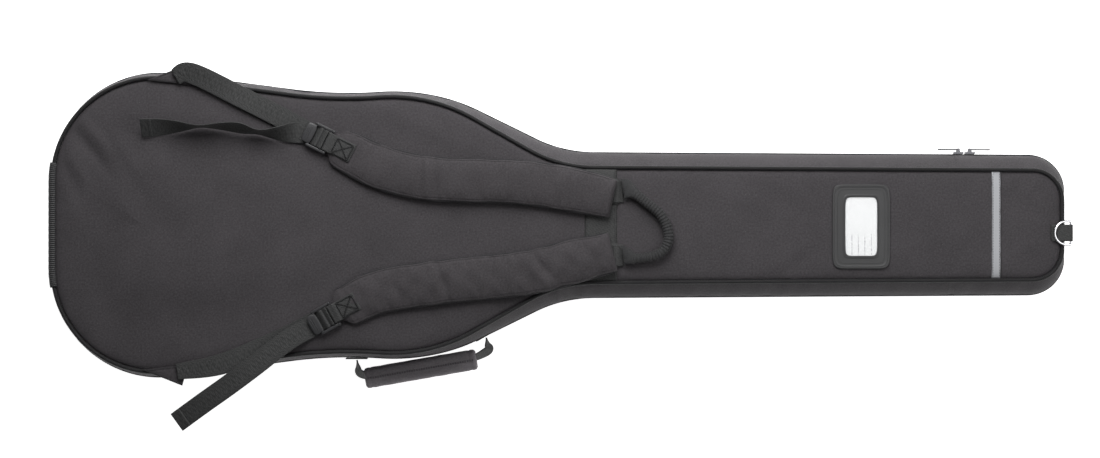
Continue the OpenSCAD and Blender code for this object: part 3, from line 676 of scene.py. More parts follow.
@dataclass(frozen=True)
class Clear(Finish):
    """Thin clear sheet: mostly let through, with a soft gloss and faint scuffs."""

    alpha: float = 0.16

    def dress(self, n: Nodes, place: bpy.types.NodeSocket, cloud: bpy.types.Node,
              shader: bpy.types.Node) -> None:
        """Alpha rises a little where the sheet is scuffed.

        Args:
            n: the material's node builder.
            place: the pattern's coordinates.
            cloud: the patches' group node.
            shader: the Principled node.
        """
        scuff = n.math("MULTIPLY_ADD", cloud.outputs["Patch"], 0.12, self.alpha - 0.05)
        n.join(scuff, shader.inputs["Alpha"])
        self.tint(n, shader, cloud.outputs["Patch"], 0.95, 1.05)
        self.bump(n, shader, cloud.outputs["Patch"], 0.3, 0.4)


@dataclass(frozen=True)
class Ribbed(Finish):
    """Rubber with ribs along the cloth's first direction."""

    pitch: float = 2.4

    def dress(self, n: Nodes, place: bpy.types.NodeSocket, cloud: bpy.types.Node,
              shader: bpy.types.Node) -> None:
        """The rib is the size of a sine along the strip; it makes the relief and paints the grooves darker
        and the crests lighter, a painted shade and highlight.

        Args:
            n: the material's node builder.
            place: the pattern's coordinates.
            cloud: the patches' group node.
            shader: the Principled node.
        """
        split = n.add("ShaderNodeSeparateXYZ", i0=place)
        turn = n.math("MULTIPLY", split.outputs[0], math.pi / (self.pitch * MM))
        rib = n.math("ABSOLUTE", n.math("SINE", turn))
        # Painted shade and highlight: the grooves between ribs are coloured darker and the crests lighter.
        self.tint(n, shader, rib, 0.5, 1.5)
        self.bump(n, shader, n.math("MULTIPLY_ADD", cloud.outputs["Grain"], 0.2, rib), 0.7)
        n.join(n.math("MULTIPLY_ADD", cloud.outputs["Grain"], 0.3, self.roughness - 0.15),
               shader.inputs["Roughness"])


@dataclass(frozen=True)
class Printed(Finish):
    """White card with a few rows of grey filling-in lines."""

    rows: float = 7.0
    line_share: float = 0.13
    lined_to_m: float = 0.034

    def dress(self, n: Nodes, place: bpy.types.NodeSocket, cloud: bpy.types.Node,
              shader: bpy.types.Node) -> None:
        """Lines are thin bands of a saw tooth across the card, kept to its lower half.

        Args:
            n: the material's node builder.
            place: the pattern's coordinates.
            cloud: the patches' group node.
            shader: the Principled node.
        """
        split = n.add("ShaderNodeSeparateXYZ", i0=place)
        saw = n.math("FRACT", n.math("MULTIPLY", split.outputs[0], self.rows / CARD_L_M))
        band = n.math("LESS_THAN", saw, self.line_share)
        where = n.math("LESS_THAN", split.outputs[1], self.lined_to_m)
        dots = n.math("GREATER_THAN", cloud.outputs["Grain"], 0.47)
        ink = n.math("MULTIPLY", n.math("MULTIPLY", band, where), n.math("MULTIPLY", dots, 0.8))
        base = self.tint(n, shader, cloud.outputs["Patch"], 0.97, 1.02)
        mix = n.add("ShaderNodeMix", p_data_type="RGBA", i0=ink, i6=base, i7=(*INK_COLOUR, 1.0))
        n.join(mix.outputs[2], shader.inputs["Base Color"])
        self.bump(n, shader, cloud.outputs["Patch"], 0.2, 0.5)


@dataclass(frozen=True)
class Reflector(Finish):
    """Grey reflective tape: a fine lattice of tiny glass beads in raised cells."""

    lattice_mm: float = 1.6

    def dress(self, n: Nodes, place: bpy.types.NodeSocket, cloud: bpy.types.Node,
              shader: bpy.types.Node) -> None:
        """The lattice is a plain weave, shown faintly in colour and relief.

        Args:
            n: the material's node builder.
            place: the pattern's coordinates.
            cloud: the patches' group node.
            shader: the Principled node.
        """
        weave = n.add("ShaderNodeGroup", p_node_tree=weave_group(), Vector=place,
                      Pitch=self.lattice_mm * MM)
        self.tint(n, shader, weave.outputs["Height"], 0.86, 1.08)
        shader.inputs["Metallic"].default_value = 0.35
        self.bump(n, shader, weave.outputs["Height"], 0.08)


CLOTH = Woven("nylon_cloth", "cloth", (0.053, 0.0485, 0.0525), 0.7, uneven=0.34)
STRAP_CLOTH = Woven("strap_cover", "strap_cloth", (0.05, 0.0455, 0.049), 0.72, uneven=0.34)
# Painted light: the grip sleeve is the same cloth as the strap cover, but coloured about four times lighter
# to stand in for the light it lacks low beside the bag.
GRIP_CLOTH_PAINTED_LIGHT = Woven("grip_cloth_painted_light", "strap_cloth", (0.2, 0.186, 0.198), 0.7)
CORD_CLOTH = Woven("rolled_webbing", "webbing", (0.03, 0.03, 0.031), 0.6, pitch=1.1, relief=0.3)
SPACER = Woven("spacer_mesh", "strap_cloth", (0.026, 0.025, 0.027), 0.8, pitch=2.2, relief=0.5, lint=0.1)
LINING = Woven("brushed_lining", "lining", (0.105, 0.11, 0.125), 0.85, pitch=0.5, sheen=0.35)
WEBBING = Woven("twill_webbing", "webbing", (0.044, 0.0445, 0.0445), 0.6, pitch=1.25, stretch=1.5,
                shift=0.5, relief=0.24, uneven=0.3)
PIPING = Woven("piping_tape", "piping", (0.013, 0.0127, 0.0135), 0.46, pitch=0.6, lint=0.15)
ZIP_TAPE = Woven("zip_tape_weave", "zip_tape", (0.018, 0.018, 0.019), 0.75, pitch=0.9, shift=0.5, lint=0.1)
COIL = Finish("zip_coil", "zip_tape", (0.016, 0.016, 0.018), 0.42)
GUARD = Ribbed("guard_rubber", "guard", (0.02, 0.02, 0.021), 0.6)
# Near-black thread: partly the thread's own colour, partly painted shade of the sunken seams it lies in.
THREAD = Finish("thread", "cloth", (0.009, 0.009, 0.01), 0.5)
TAPE = Reflector("reflective_tape", "reflector", (0.30, 0.305, 0.32), 0.42)
HOLDER = Finish("coated_binding_cloth", "holder", (0.03, 0.03, 0.031), 0.5)
WINDOW = Clear("clear_sheet", "window", (0.9, 0.92, 0.94), 0.16, space=Space.OBJECT)
CARD = Printed("paper_card", "card", (0.8, 0.8, 0.795), 0.8, uneven=0.05)
CHROME = Plated("nickel_plate", "chrome", (0.78, 0.78, 0.8), 0.08, space=Space.OBJECT)
GUNMETAL = Plated("dark_plate", "slider_metal", (0.11, 0.11, 0.118), 0.2, space=Space.OBJECT)
PLASTIC = Finish("moulded_plastic", "buckle", (0.024, 0.024, 0.026), 0.42, space=Space.OBJECT)
ENAMEL = Finish("enamelled_zinc", "slider_metal", (0.03, 0.03, 0.033), 0.34, space=Space.OBJECT)
FOAM = Finish("padding_foam", "foam", (0.33, 0.33, 0.32), 0.9)


# -------------------------------------------------------------------------- outline

def level(node: str, corner: int) -> float:
    """Lowest (0) or highest (1) height of a CAD node, in millimetres."""
    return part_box(node)[corner].z / MM


class Side(Enum):
    """The two halves of the bag; the value is the way their panel faces."""

    BACK = 1
    FRONT = -1


@dataclass(frozen=True)
class Outline:
    """The line of the piping, the same for both halves, and the levels between them."""

    panel_l: float = 1208
    lower_w: float = 352
    upper_w: float = 307
    neck_w: float = 138
    tail_r: float = 124
    head_r: float = 36
    shoulder_r: float = 160
    shoulder_angle: float = 29.5
    neck_taper: float = 0.35
    waist_r: float = 550
    waist_fall: float = 7.5
    waist_rise: float = 4.0
    usual_flare: float = 45
    flare_per_degree: float = 12
    bout_r: float = 200
    body_bulge: float = 7
    neck_bulge: float = 18
    end_bulge: float = 5
    step: float = 3.2
    cover_t: float = 1.2
    side_foam_t: float = 8
    edge_d: float = 2.6
    seam_d: float = 2.0
    tape_w: float = 8
    back_z: float = field(default_factory=lambda: level("back_cover", 1))
    front_z: float = field(default_factory=lambda: level("front_cover", 0))

    @property
    def zip_z(self) -> float:
        """Height of the plane where the bag opens."""
        return (self.back_z + self.front_z) / 2

    @property
    def half(self) -> float:
        """Depth of one half."""
        return (self.back_z - self.front_z) / 2

    def side(self) -> Array:
        """Half of the line, from the middle of the tail over +Y to the middle of the head.

        It is walked in lines and arcs. A line adds a distance along the heading, and an
        arc adds the radius times the change of the heading's sine and cosine.

        Returns:
            rows of x, y, heading in radians, stand-out of the side wall, distance.
        """
        r = math.radians
        fall = self.waist_fall + (self.lower_w - self.upper_w - self.usual_flare) / self.flare_per_degree

        def drop(radius: float, a: float, b: float) -> float:
            """Change of y along an arc between two headings in degrees."""
            return radius * abs(math.cos(r(a)) - math.cos(r(b)))

        waist_y = self.upper_w / 2 - drop(self.bout_r, self.waist_rise, 0)
        fall_l = (self.lower_w / 2 - drop(self.tail_r, 0, fall) - waist_y
                  - drop(self.waist_r, fall, self.waist_rise)) / math.sin(r(fall))
        bout_y = self.upper_w / 2 - drop(self.bout_r, 0, self.shoulder_angle)
        neck_y = self.neck_w / 2 + drop(self.shoulder_r, self.shoulder_angle, self.neck_taper)
        shoulder_l = (bout_y - neck_y) / math.sin(r(self.shoulder_angle))
        rows = [np.array([[-self.tail_r, 0.0, r(90), 0.0]])]
        marks: list[tuple[float, float]] = []

        def go(length: float, turn: float = 0.0, radius: float = 0.0) -> None:
            """Adds a line, or an arc where it turns.

            Args:
                length: distance along it.
                turn: change of heading in degrees.
                radius: the arc's radius.
            """
            x, y, h, s = rows[-1][-1]
            n = max(2, int(math.ceil(length / self.step)))
            t = np.arange(1, n + 1) / n
            if turn:
                a, sign = h + r(turn) * t, math.copysign(1, turn)
                xs = x + sign * radius * (np.sin(a) - math.sin(h))
                ys = y - sign * radius * (np.cos(a) - math.cos(h))
            else:
                a = np.full(n, h)
                xs, ys = x + length * t * math.cos(h), y + length * t * math.sin(h)
            rows.append(np.stack([xs, ys, a, s + length * t], 1))
            marks.append((xs[-1], ys[-1]))

        def bend(turn: float, radius: float) -> None:
            """Adds an arc through turn degrees."""
            go(radius * r(abs(turn)), turn, radius)

        go(self.lower_w / 2 - self.tail_r)
        bend(-(90 + fall), self.tail_r)
        go(fall_l)
        bend(fall + self.waist_rise, self.waist_r)
        bend(-self.waist_rise, self.bout_r)
        bout_x = marks[-1][0]
        bend(-self.shoulder_angle, self.bout_r)
        go(shoulder_l)
        bend(self.shoulder_angle - self.neck_taper, self.shoulder_r)
        neck_x = marks[-1][0]
        corner = self.panel_l - self.tail_r - self.head_r * (1 - math.sin(r(self.neck_taper)))
        go((corner - neck_x) / math.cos(r(self.neck_taper)))
        bend(-(90 - self.neck_taper), self.head_r)
        go(rows[-1][-1, 1])
        neck_from = neck_x - 5
        p = np.vstack(rows)
        facing = np.cos(p[:, 2]).clip(0)
        body = self.end_bulge + (self.body_bulge - self.end_bulge) * facing
        neck = self.end_bulge + (self.neck_bulge - self.end_bulge) * facing
        grow = self.body_bulge + (self.neck_bulge - self.body_bulge) * ease(
            (p[:, 0] - bout_x) / (neck_from - bout_x))
        bulge = np.where(p[:, 0] > neck_from, neck, np.where(p[:, 0] < bout_x, body, grow))
        return np.column_stack([p[:, :3], bulge, p[:, 3]])

    def loop(self) -> Array:
        """The whole line as a closed loop, clockwise from above; see side for the columns.

        Returns:
            rows with side's columns.
        """
        one = self.side()
        other = one[-2:0:-1] * np.array([1, -1, -1, 1, -1]) + np.array(
            [0, 0, math.pi, 0, 2 * one[-1, 4]])
        return np.vstack([one, other])

    def half_width(self, x: Array) -> Array:
        """Distance of the line from the middle at a place along the bag."""
        one = self.side()
        return np.interp(x, one[:, 0], one[:, 1], left=0, right=0)

    def shifted(self, line: Array, d: Array | float, z: Array | float) -> Array:
        """Points at distance d outside the line's rows, at height z.

        Args:
            line: rows of the outline.
            d: distance outside it.
            z: height.
        Returns:
            points.
        """
        x = line[:, 0] - d * np.sin(line[:, 2])
        y = line[:, 1] + d * np.cos(line[:, 2])
        return np.stack([x, y, np.broadcast_to(z, x.shape)], -1)


@dataclass(frozen=True)
class Fold:
    """A soft crease: a Gaussian ridge about a line, negative for a dent."""

    x: float
    y: float
    angle: float
    length: float
    width: float
    height: float

    def lift(self, x: Array, y: Array) -> Array:
        """Height is the product of a bell along the line and one across it.

        Args:
            x: places along the bag.
            y: places across it.
        Returns:
            heights over the plain face.
        """
        a = math.radians(self.angle)
        u = (x - self.x) * math.cos(a) + (y - self.y) * math.sin(a)
        v = (y - self.y) * math.cos(a) - (x - self.x) * math.sin(a)
        return self.height * np.exp(-(u / self.length) ** 2 - (v / self.width) ** 2)


# Creases of the back panel: the tail's corner, the waist, under the straps, the neck and the head
BACK_FOLDS = (
    Fold(-66, 102, -48, 40, 9, 2.4), Fold(-80, 92, -50, 40, 8, -2.2), Fold(-50, 88, -52, 46, 10, -1.8),
    Fold(-34, 80, -56, 44, 10, 1.5), Fold(-94, 70, -62, 30, 9, 1.6), Fold(-100, 52, -70, 30, 8, -1.0),
    Fold(-100, 24, -82, 36, 12, 0.9), Fold(-98, -60, 70, 40, 14, 0.9), Fold(-92, -84, 58, 34, 9, -0.9),
    Fold(-10, 40, -58, 50, 18, -1.2), Fold(24, 30, -50, 60, 22, 1.0), Fold(40, 128, -6, 70, 16, 1.4),
    Fold(150, 120, -12, 60, 14, -1.3), Fold(90, -20, 30, 80, 40, 0.8), Fold(320, 118, -28, 60, 12, 1.2),
    Fold(420, 70, -30, 50, 10, 1.2), Fold(440, 46, -20, 60, 12, -1.0), Fold(300, -110, 14, 60, 16, 1.0),
    Fold(400, -88, 28, 50, 10, 1.1), Fold(612, 6, 60, 26, 16, 0.6), Fold(640, -14, 80, 30, 14, -0.6),
    Fold(700, 30, -20, 60, 10, 0.5), Fold(720, 44, -24, 50, 9, -0.5), Fold(760, -34, 40, 30, 9, 0.6),
    Fold(770, -44, 38, 30, 7, -0.6), Fold(930, 30, 0, 80, 14, 0.4), Fold(900, -30, 15, 60, 12, 0.5),
    Fold(960, -40, 60, 26, 8, -0.5), Fold(1032, 40, -40, 22, 6, 0.9), Fold(1044, 26, -52, 20, 6, -0.8),
    Fold(1036, -30, 35, 26, 8, 0.7), Fold(1022, 52, 70, 12, 3.5, 0.8), Fold(1034, 50, 66, 12, 3.5, -0.7),
    Fold(1048, 44, 50, 12, 3.5, 0.7), Fold(1020, -50, -60, 14, 5, 0.6),
)


@dataclass
class PaddedHalf:
    """One half of the bag: panel, side wall, piping, lining, zip half and tail guard.

    A pair is where a change starts and how far it goes on, or a depth and its reach.
    hinge_s and guard_s are distances along the outline from the middle of the tail.
    """

    outline: Outline
    side: Side
    crown: float = 5.0
    crown_rise: tuple[float, float] = (45, 65)
    crown_fade: tuple[float, float] = (110, 120)
    neck_calm: tuple[float, float] = (470, 40)
    spine_from: float = -10
    spine_short: float = 40
    edge_drop: tuple[float, float] = (2.6, 10)
    rim_drop: tuple[float, float] = (1.5, 2.2)
    piping_r: float = 2.5
    seam_gap: float = 0.1
    inner_depth: float = 16.0
    coil_pitch: float = 1.7
    hinge_s: float = 89.0
    guard_s: float = 77.0

    @property
    def label(self) -> str:
        """Name of the half."""
        return self.side.name.lower()

    @property
    def body(self) -> str:
        """Body that the half's pieces ride on."""
        return self.label + "_half"

    def z(self, u: Array | float) -> Array | float:
        """Height of a level u above the zip plane, towards this half's panel."""
        return self.outline.zip_z + self.side.value * u

    def panel_rise(self, x: Array, y: Array, d: Array) -> Array:
        """Level of the panel's face: it drops off towards the piping, and the wide end is crowned.

        The drop is two falling exponentials of the distance to the piping: a wide one that
        rounds the edge, and a short one close to the seam.

        Args:
            x: places along the bag.
            y: places across it.
            d: distances to the piping.
        Returns:
            levels above the zip plane.
        """
        half = self.outline.half
        drop = sum(deep * np.exp(-d / reach) for deep, reach in (self.edge_drop, self.rim_drop))
        if self.side is Side.FRONT:
            return half - drop
        rise, fade, calm = self.crown_rise, self.crown_fade, self.neck_calm
        crown = self.crown * ease((d - rise[0]) / rise[1]) * (1 - ease((x - fade[0]) / fade[1]))
        folds = sum(f.lift(x, y) for f in BACK_FOLDS)
        uneven = 0.22 * blotch(x, y, 70, 4) * ease(d / 30)
        quiet = 1 - 0.85 * ease((x - calm[0]) / calm[1])
        return half - drop + crown + (folds + uneven * quiet) * ease(d / 10)

    def deck(self, x: Array, y: Array) -> Array:
        """Height of the panel's face at a place on it."""
        d = np.clip(self.outline.half_width(x) - np.abs(y), 0, None) * 0.96
        return self.z(self.panel_rise(x, y, d))

    def panel(self) -> None:
        """Padded panel: straight lines from the piping to a spine, closer near the piping."""
        o = self.outline
        line = o.loop()
        edge = o.shifted(line, -o.edge_d, 0)
        spine = edge * [1, 0, 0]
        spine[:, 0] = np.clip(edge[:, 0], self.spine_from, o.panel_l - o.tail_r - self.spine_short)
        t = (np.linspace(0, 1, 46) ** 1.6)[None, :, None]
        p = edge[:, None] * (1 - t) + spine[:, None] * t
        d = t[..., 0] * np.linalg.norm(spine - edge, axis=1)[:, None]
        pucker = 0.28 * ripple(line[:, 4], 26, 3)[:, None] * np.exp(-d / 9)
        p[..., 2] = self.z(self.panel_rise(p[..., 0], p[..., 1], d) + pucker * ease(d / 2))
        self.padding(p, t)
        cloth = Piece(self.label + "_panel")
        cloth.grid(p, wrap_u=True, flip=self.side is Side.BACK, uv=p[..., :2] * MM).done(
            CLOTH, self.body, (self.label + "_cover",), thick=o.cover_t, closed=False, fill=0.5)

    def padding(self, face: Array, t: Array) -> None:
        """Foam slab under the panel's cloth: its upper face follows the cloth.

        Args:
            face: the cloth's grid of points, rows round the panel.
            t: share of the way from the piping to the spine, for each column.
        """
        o = self.outline
        inset = 1.5 * (1 - t)
        top = face[:, ::3]
        toward = unit((face[:, -1:] - face[:, :1]) * [1, 1, 0])
        top = top + toward * inset[:, ::3]
        top[..., 2] -= self.side.value * (o.cover_t + 0.3)
        low = top[:, ::-1].copy()
        low[..., 2] = self.z(o.half - self.inner_depth + 0.9)
        p = np.concatenate([top, low], 1)
        Piece(self.label + "_panel_padding").grid(p, wrap_u=True, wrap_v=True).done(
            FOAM, self.body, (self.label + "_foam",), fill=0.9)

    def wall_shape(self, line: Array, t: Array) -> tuple[Array, Array]:
        """Offset and level of the side wall: the offset grows with the sine of the way down.

        Args:
            line: rows of the outline.
            t: share of the way from the piping to the zip.
        Returns:
            offsets outside the line, and levels above the zip plane.
        """
        o = self.outline
        seam_u = o.half - 2 * self.piping_r - self.seam_gap
        bulge = line[:, 3:4]
        d = o.seam_d + (bulge - o.seam_d) * np.sin(t * math.pi / 2)
        return d, seam_u + (o.tape_w - seam_u) * t

    def side_wall(self) -> None:
        """Bulging side wall with gathers under the piping, cross seams and a pinch."""
        o = self.outline
        line = o.loop()
        t = np.linspace(0, 1, 22)[None, :]
        d, u = self.wall_shape(line, t)
        d = d + self.wall_relief(line, t)
        p = np.stack([o.shifted(line, d[:, k], self.z(u[0, k])) for k in range(t.size)], 1)
        Piece(self.label + "_side_wall").grid(p, wrap_u=True, flip=self.side is Side.FRONT).done(
            CLOTH, self.body, (self.label + "_side_cover",), thick=o.cover_t, closed=False, fill=0.5)
        t = np.linspace(0.04, 1, 14)[None, :]
        d, u = self.wall_shape(line, t)
        d = d + self.wall_relief(line, t) - o.cover_t - 0.3
        deep = o.side_foam_t * np.clip(t * 3, 0.2, 0.92)
        u = u.copy()
        u[:, -1] = 1.6
        outer, inner = (np.stack([
            o.shifted(line, d[:, k] - share * deep[0, k], self.z(u[0, k])) for k in range(t.size)], 1)
            for share in (0, 1))
        foam = np.concatenate([outer, inner[:, ::-1]], 1)
        Piece(self.label + "_side_padding").grid(foam, wrap_u=True, wrap_v=True).done(
            FOAM, self.body,
            (self.label + "_body_side_foam", self.label + "_neck_side_foam"), fill=0.9)

    def wall_relief(self, line: Array, t: Array) -> Array:
        """How far the wall stands out of its plain shape.

        Gathers are ripples that fade down the wall, seams are narrow bells cut into it,
        and the pinch where the wide webbing pulls is a wide bell.

        Args:
            line: rows of the outline.
            t: share of the way from the piping to the zip.
        Returns:
            distances to add to the wall's offset.
        """
        s, x, up = line[:, 4:5], line[:, 0:1], line[:, 1:2] > 0
        swell = np.sin(t * math.pi)
        d = 0.45 * ripple(s[:, 0], 34, 11 + self.side.value)[:, None] * swell
        d = d + 0.3 * ripple(s[:, 0], 9, 5)[:, None] * np.exp(-t * 7) * ease(t * 12)
        seams = ((955, 2.6, 1.1), (483, 3.2, 1.6), (478, 12, -1.0), (520, 16, -0.8), (-40, 3.0, 0.8))
        for place, width, depth in seams:
            cut = np.exp(-((x - place) / width) ** 2) * (np.cos(line[:, 2:3]) ** 2 > 0.1)
            d = d - depth * cut * ease(swell * 2)
        pinch, puff = (172, 13, 2.6), (130, 30, 1.4)
        d = d - pinch[2] * np.exp(-((x - pinch[0]) / pinch[1]) ** 2) * up * swell
        return d + puff[2] * np.exp(-((x - puff[0]) / puff[1]) ** 2) * up * swell

    def piping(self) -> None:
        """Cord in a folded tape: a tube, with a flat flange to each side."""
        o = self.outline
        line = o.loop()
        ring = rounded_section(14, 2.0)
        u = o.half - self.piping_r - self.seam_gap
        r = self.piping_r * (1 + 0.02 * ripple(line[:, 4], 12, 8))
        p = np.stack([o.shifted(line, r * c, self.z(u + 0.2) + r * s) for c, s in ring], 1)
        Piece(self.label + "_piping_cord").grid(p, wrap_u=True, wrap_v=True).done(
            PIPING, self.body, (self.label + "_piping",))

    def along(self, low: float, high: float, step: int = 1) -> Array:
        """Rows of the loop whose distance from the middle of the tail lies between two values.

        Args:
            low: first distance, below 0 for the -Y side.
            high: last distance.
            step: takes every step-th row.
        Returns:
            rows with side's columns.
        """
        line = self.outline.loop()
        total = line[-1, 4] + line[1, 4]
        line = np.vstack([line - np.array([0, 0, 0, 0, total]), line]) if low < 0 else line
        return line[(line[:, 4] >= low) & (line[:, 4] <= high)][::step]

    def zip_half(self) -> None:
        """Tape with a raised hem, and a coil of small ridges that cross the tape's edge."""
        o = self.outline
        total = o.loop()[-1, 4]
        line = self.along(self.hinge_s, total - self.hinge_s)
        rows = ((0.0, 0.2), (0.35, 0.3), (0.5, 1.0), (0.4, 3.4), (0.4, 6.6), (1.0, 7.2), (1.2, 8.2),
                (0.4, 9.6))
        p = np.stack([o.shifted(line, line[:, 3] + a, self.z(b)) for a, b in rows], 1)
        tape = Piece(self.label + "_zip_tape").grid(p, flip=self.side is Side.BACK)
        tape.done(ZIP_TAPE, self.body, (self.label + "_zipper",), thick=0.9, closed=False)
        at = resample(line[:, :4], self.coil_pitch)
        out = np.column_stack([-np.sin(at[:, 2]), np.cos(at[:, 2]), np.zeros(len(at))])
        run = np.column_stack([np.cos(at[:, 2]), np.sin(at[:, 2]), np.zeros(len(at))])
        shift = 0.42 * self.side.value
        centre = np.column_stack([at[:, :2], np.full(len(at), self.z(1.9))])
        centre = centre + out * (at[:, 3:4] + 0.75) + run * shift
        tall = np.array([0, 0, 1.9 * self.side.value]) + run * 0.12
        Piece(self.label + "_zip_coil").beads(
            centre, np.broadcast_to(tall, centre.shape), run * 0.62, out * 0.85).done(COIL, self.body)

    def stitching(self) -> None:
        """Seams of thread: beside the zip, under the piping and on the cross seams."""
        o = self.outline
        piece = Piece(self.label + "_stitching")
        total = o.loop()[-1, 4]
        line = self.along(self.hinge_s, total - self.hinge_s)
        seam_u = o.half - 2 * self.piping_r - self.seam_gap
        for lift in (8.9, 11.2):
            t = np.array([[(seam_u - lift) / (seam_u - o.tape_w)]])
            d, u = self.wall_shape(line, t)
            piece.thread(o.shifted(line, d[:, 0] + 0.7, self.z(u[0, 0])))
        for place in (950, 960, 479, 487):
            t = np.linspace(0.08, 0.96, 24)[None, :]
            for sign in (1, -1):
                one = o.side()
                row = one[np.argmin(np.abs(one[:, 0] - place))][None]
                d, u = self.wall_shape(row, t)
                q = np.stack([o.shifted(row, d[0, k] - self.seam_gap, self.z(u[0, k]))[0]
                              for k in range(t.size)])
                piece.thread(q * [1, sign, 1], 3.2, 0.4)
        piece.done(THREAD, self.body)

    def lining(self) -> None:
        """Lining from the zip over the foam's rim, down the wall and across the panel."""
        o = self.outline
        line = o.loop()
        inner_u = o.half - self.inner_depth
        t = np.linspace(0, 1, 12)[None, :]
        bulge = line[:, 3:4]
        rim_in = bulge - o.cover_t - o.side_foam_t - 0.8
        rim = np.array([[0.0, 0.15, 0.5, 0.85]])
        d_rim = (bulge - o.cover_t - 0.1) * (1 - rim) + rim_in * rim
        u_rim = 0.35 + 0.25 * np.sin(rim * math.pi)
        d_wall = rim_in + (-o.edge_d - 0.8 - rim_in) * (1 - np.cos(t * math.pi / 2))
        u_wall = 0.5 + (inner_u - 1.4 - 0.5) * np.sin(t * math.pi / 2)
        d = np.concatenate([d_rim, d_wall], 1)
        u = np.broadcast_to(np.concatenate([u_rim, u_wall], 1), d.shape)
        sides = np.stack([o.shifted(line, d[:, k], self.z(u[:, k])) for k in range(d.shape[1])], 1)
        edge = sides[:, -1]
        spine = edge * [1, 0, 1]
        spine[:, 0] = np.clip(edge[:, 0], -o.tail_r * 0.35, o.panel_l - o.tail_r - self.spine_short)
        k = np.linspace(0, 1, 22)[None, 1:, None]
        floor = edge[:, None] * (1 - k) + spine[:, None] * k
        uneven = 0.25 * blotch(floor[..., 0], floor[..., 1], 60, 9)
        soft = 1.3 * ease(k[..., 0] * 6) + uneven * ease(k[..., 0] * 4)
        floor[..., 2] += self.side.value * np.clip(soft, None, 1.5) * 0.75
        p = np.concatenate([sides, floor], 1)
        cloth = Piece(self.label + "_lining_cloth")
        cloth.grid(p, wrap_u=True, flip=self.side is Side.FRONT).done(
            LINING, self.body, (self.label + "_lining",), thick=0.6, closed=False)

    def tail_guard(self) -> None:
        """Ribbed wear strip from the zip plane over the piping on to the panel's edge."""
        o = self.outline
        line = self.along(-self.guard_s, self.guard_s)
        t = np.linspace(1, 0, 14)[None, :]
        d, u = self.wall_shape(line, t)
        d = d + 2.0
        lip_d = np.array([[4.6, 4.4, 3.2, 0.8, -2.2, -4.2]])
        lip_u = np.array([[-3.4, -1.2, 0.7, 1.3, 0.9, 0.2]]) + o.half
        d = np.concatenate([d, np.broadcast_to(lip_d, (len(line), lip_d.size))], 1)
        u = np.concatenate([u, lip_u], 1)
        rib = 0.22 * np.abs(np.sin(math.pi * line[:, 4] / 4.6))[:, None]
        ends = ease((self.guard_s - np.abs(line[:, 4:5])) / 3)
        d = d + (rib - 0.6 * (1 - ends)) * (u < o.half)
        p = np.stack([o.shifted(line, d[:, k], self.z(u[0, k])) for k in range(d.shape[1])], 1)
        Piece(self.label + "_tail_guard_strip").grid(p, flip=self.side is Side.BACK).done(
            GUARD, self.body, (self.label + "_tail_guard",), thick=1.4, closed=False)

    def build(self) -> None:
        """Makes every piece of the half."""
        self.panel()
        self.side_wall()
        self.piping()
        self.zip_half()
        self.stitching()
        self.lining()
        self.tail_guard()


def dress_node(node: str, finish: Finish) -> None:
    """Gives a CAD node that stays visible its material.

    Args:
        node: name of the CAD node.
        finish: its material.
    """
    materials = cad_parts[node].data.materials
    materials.clear()
    materials.append(finish.material())


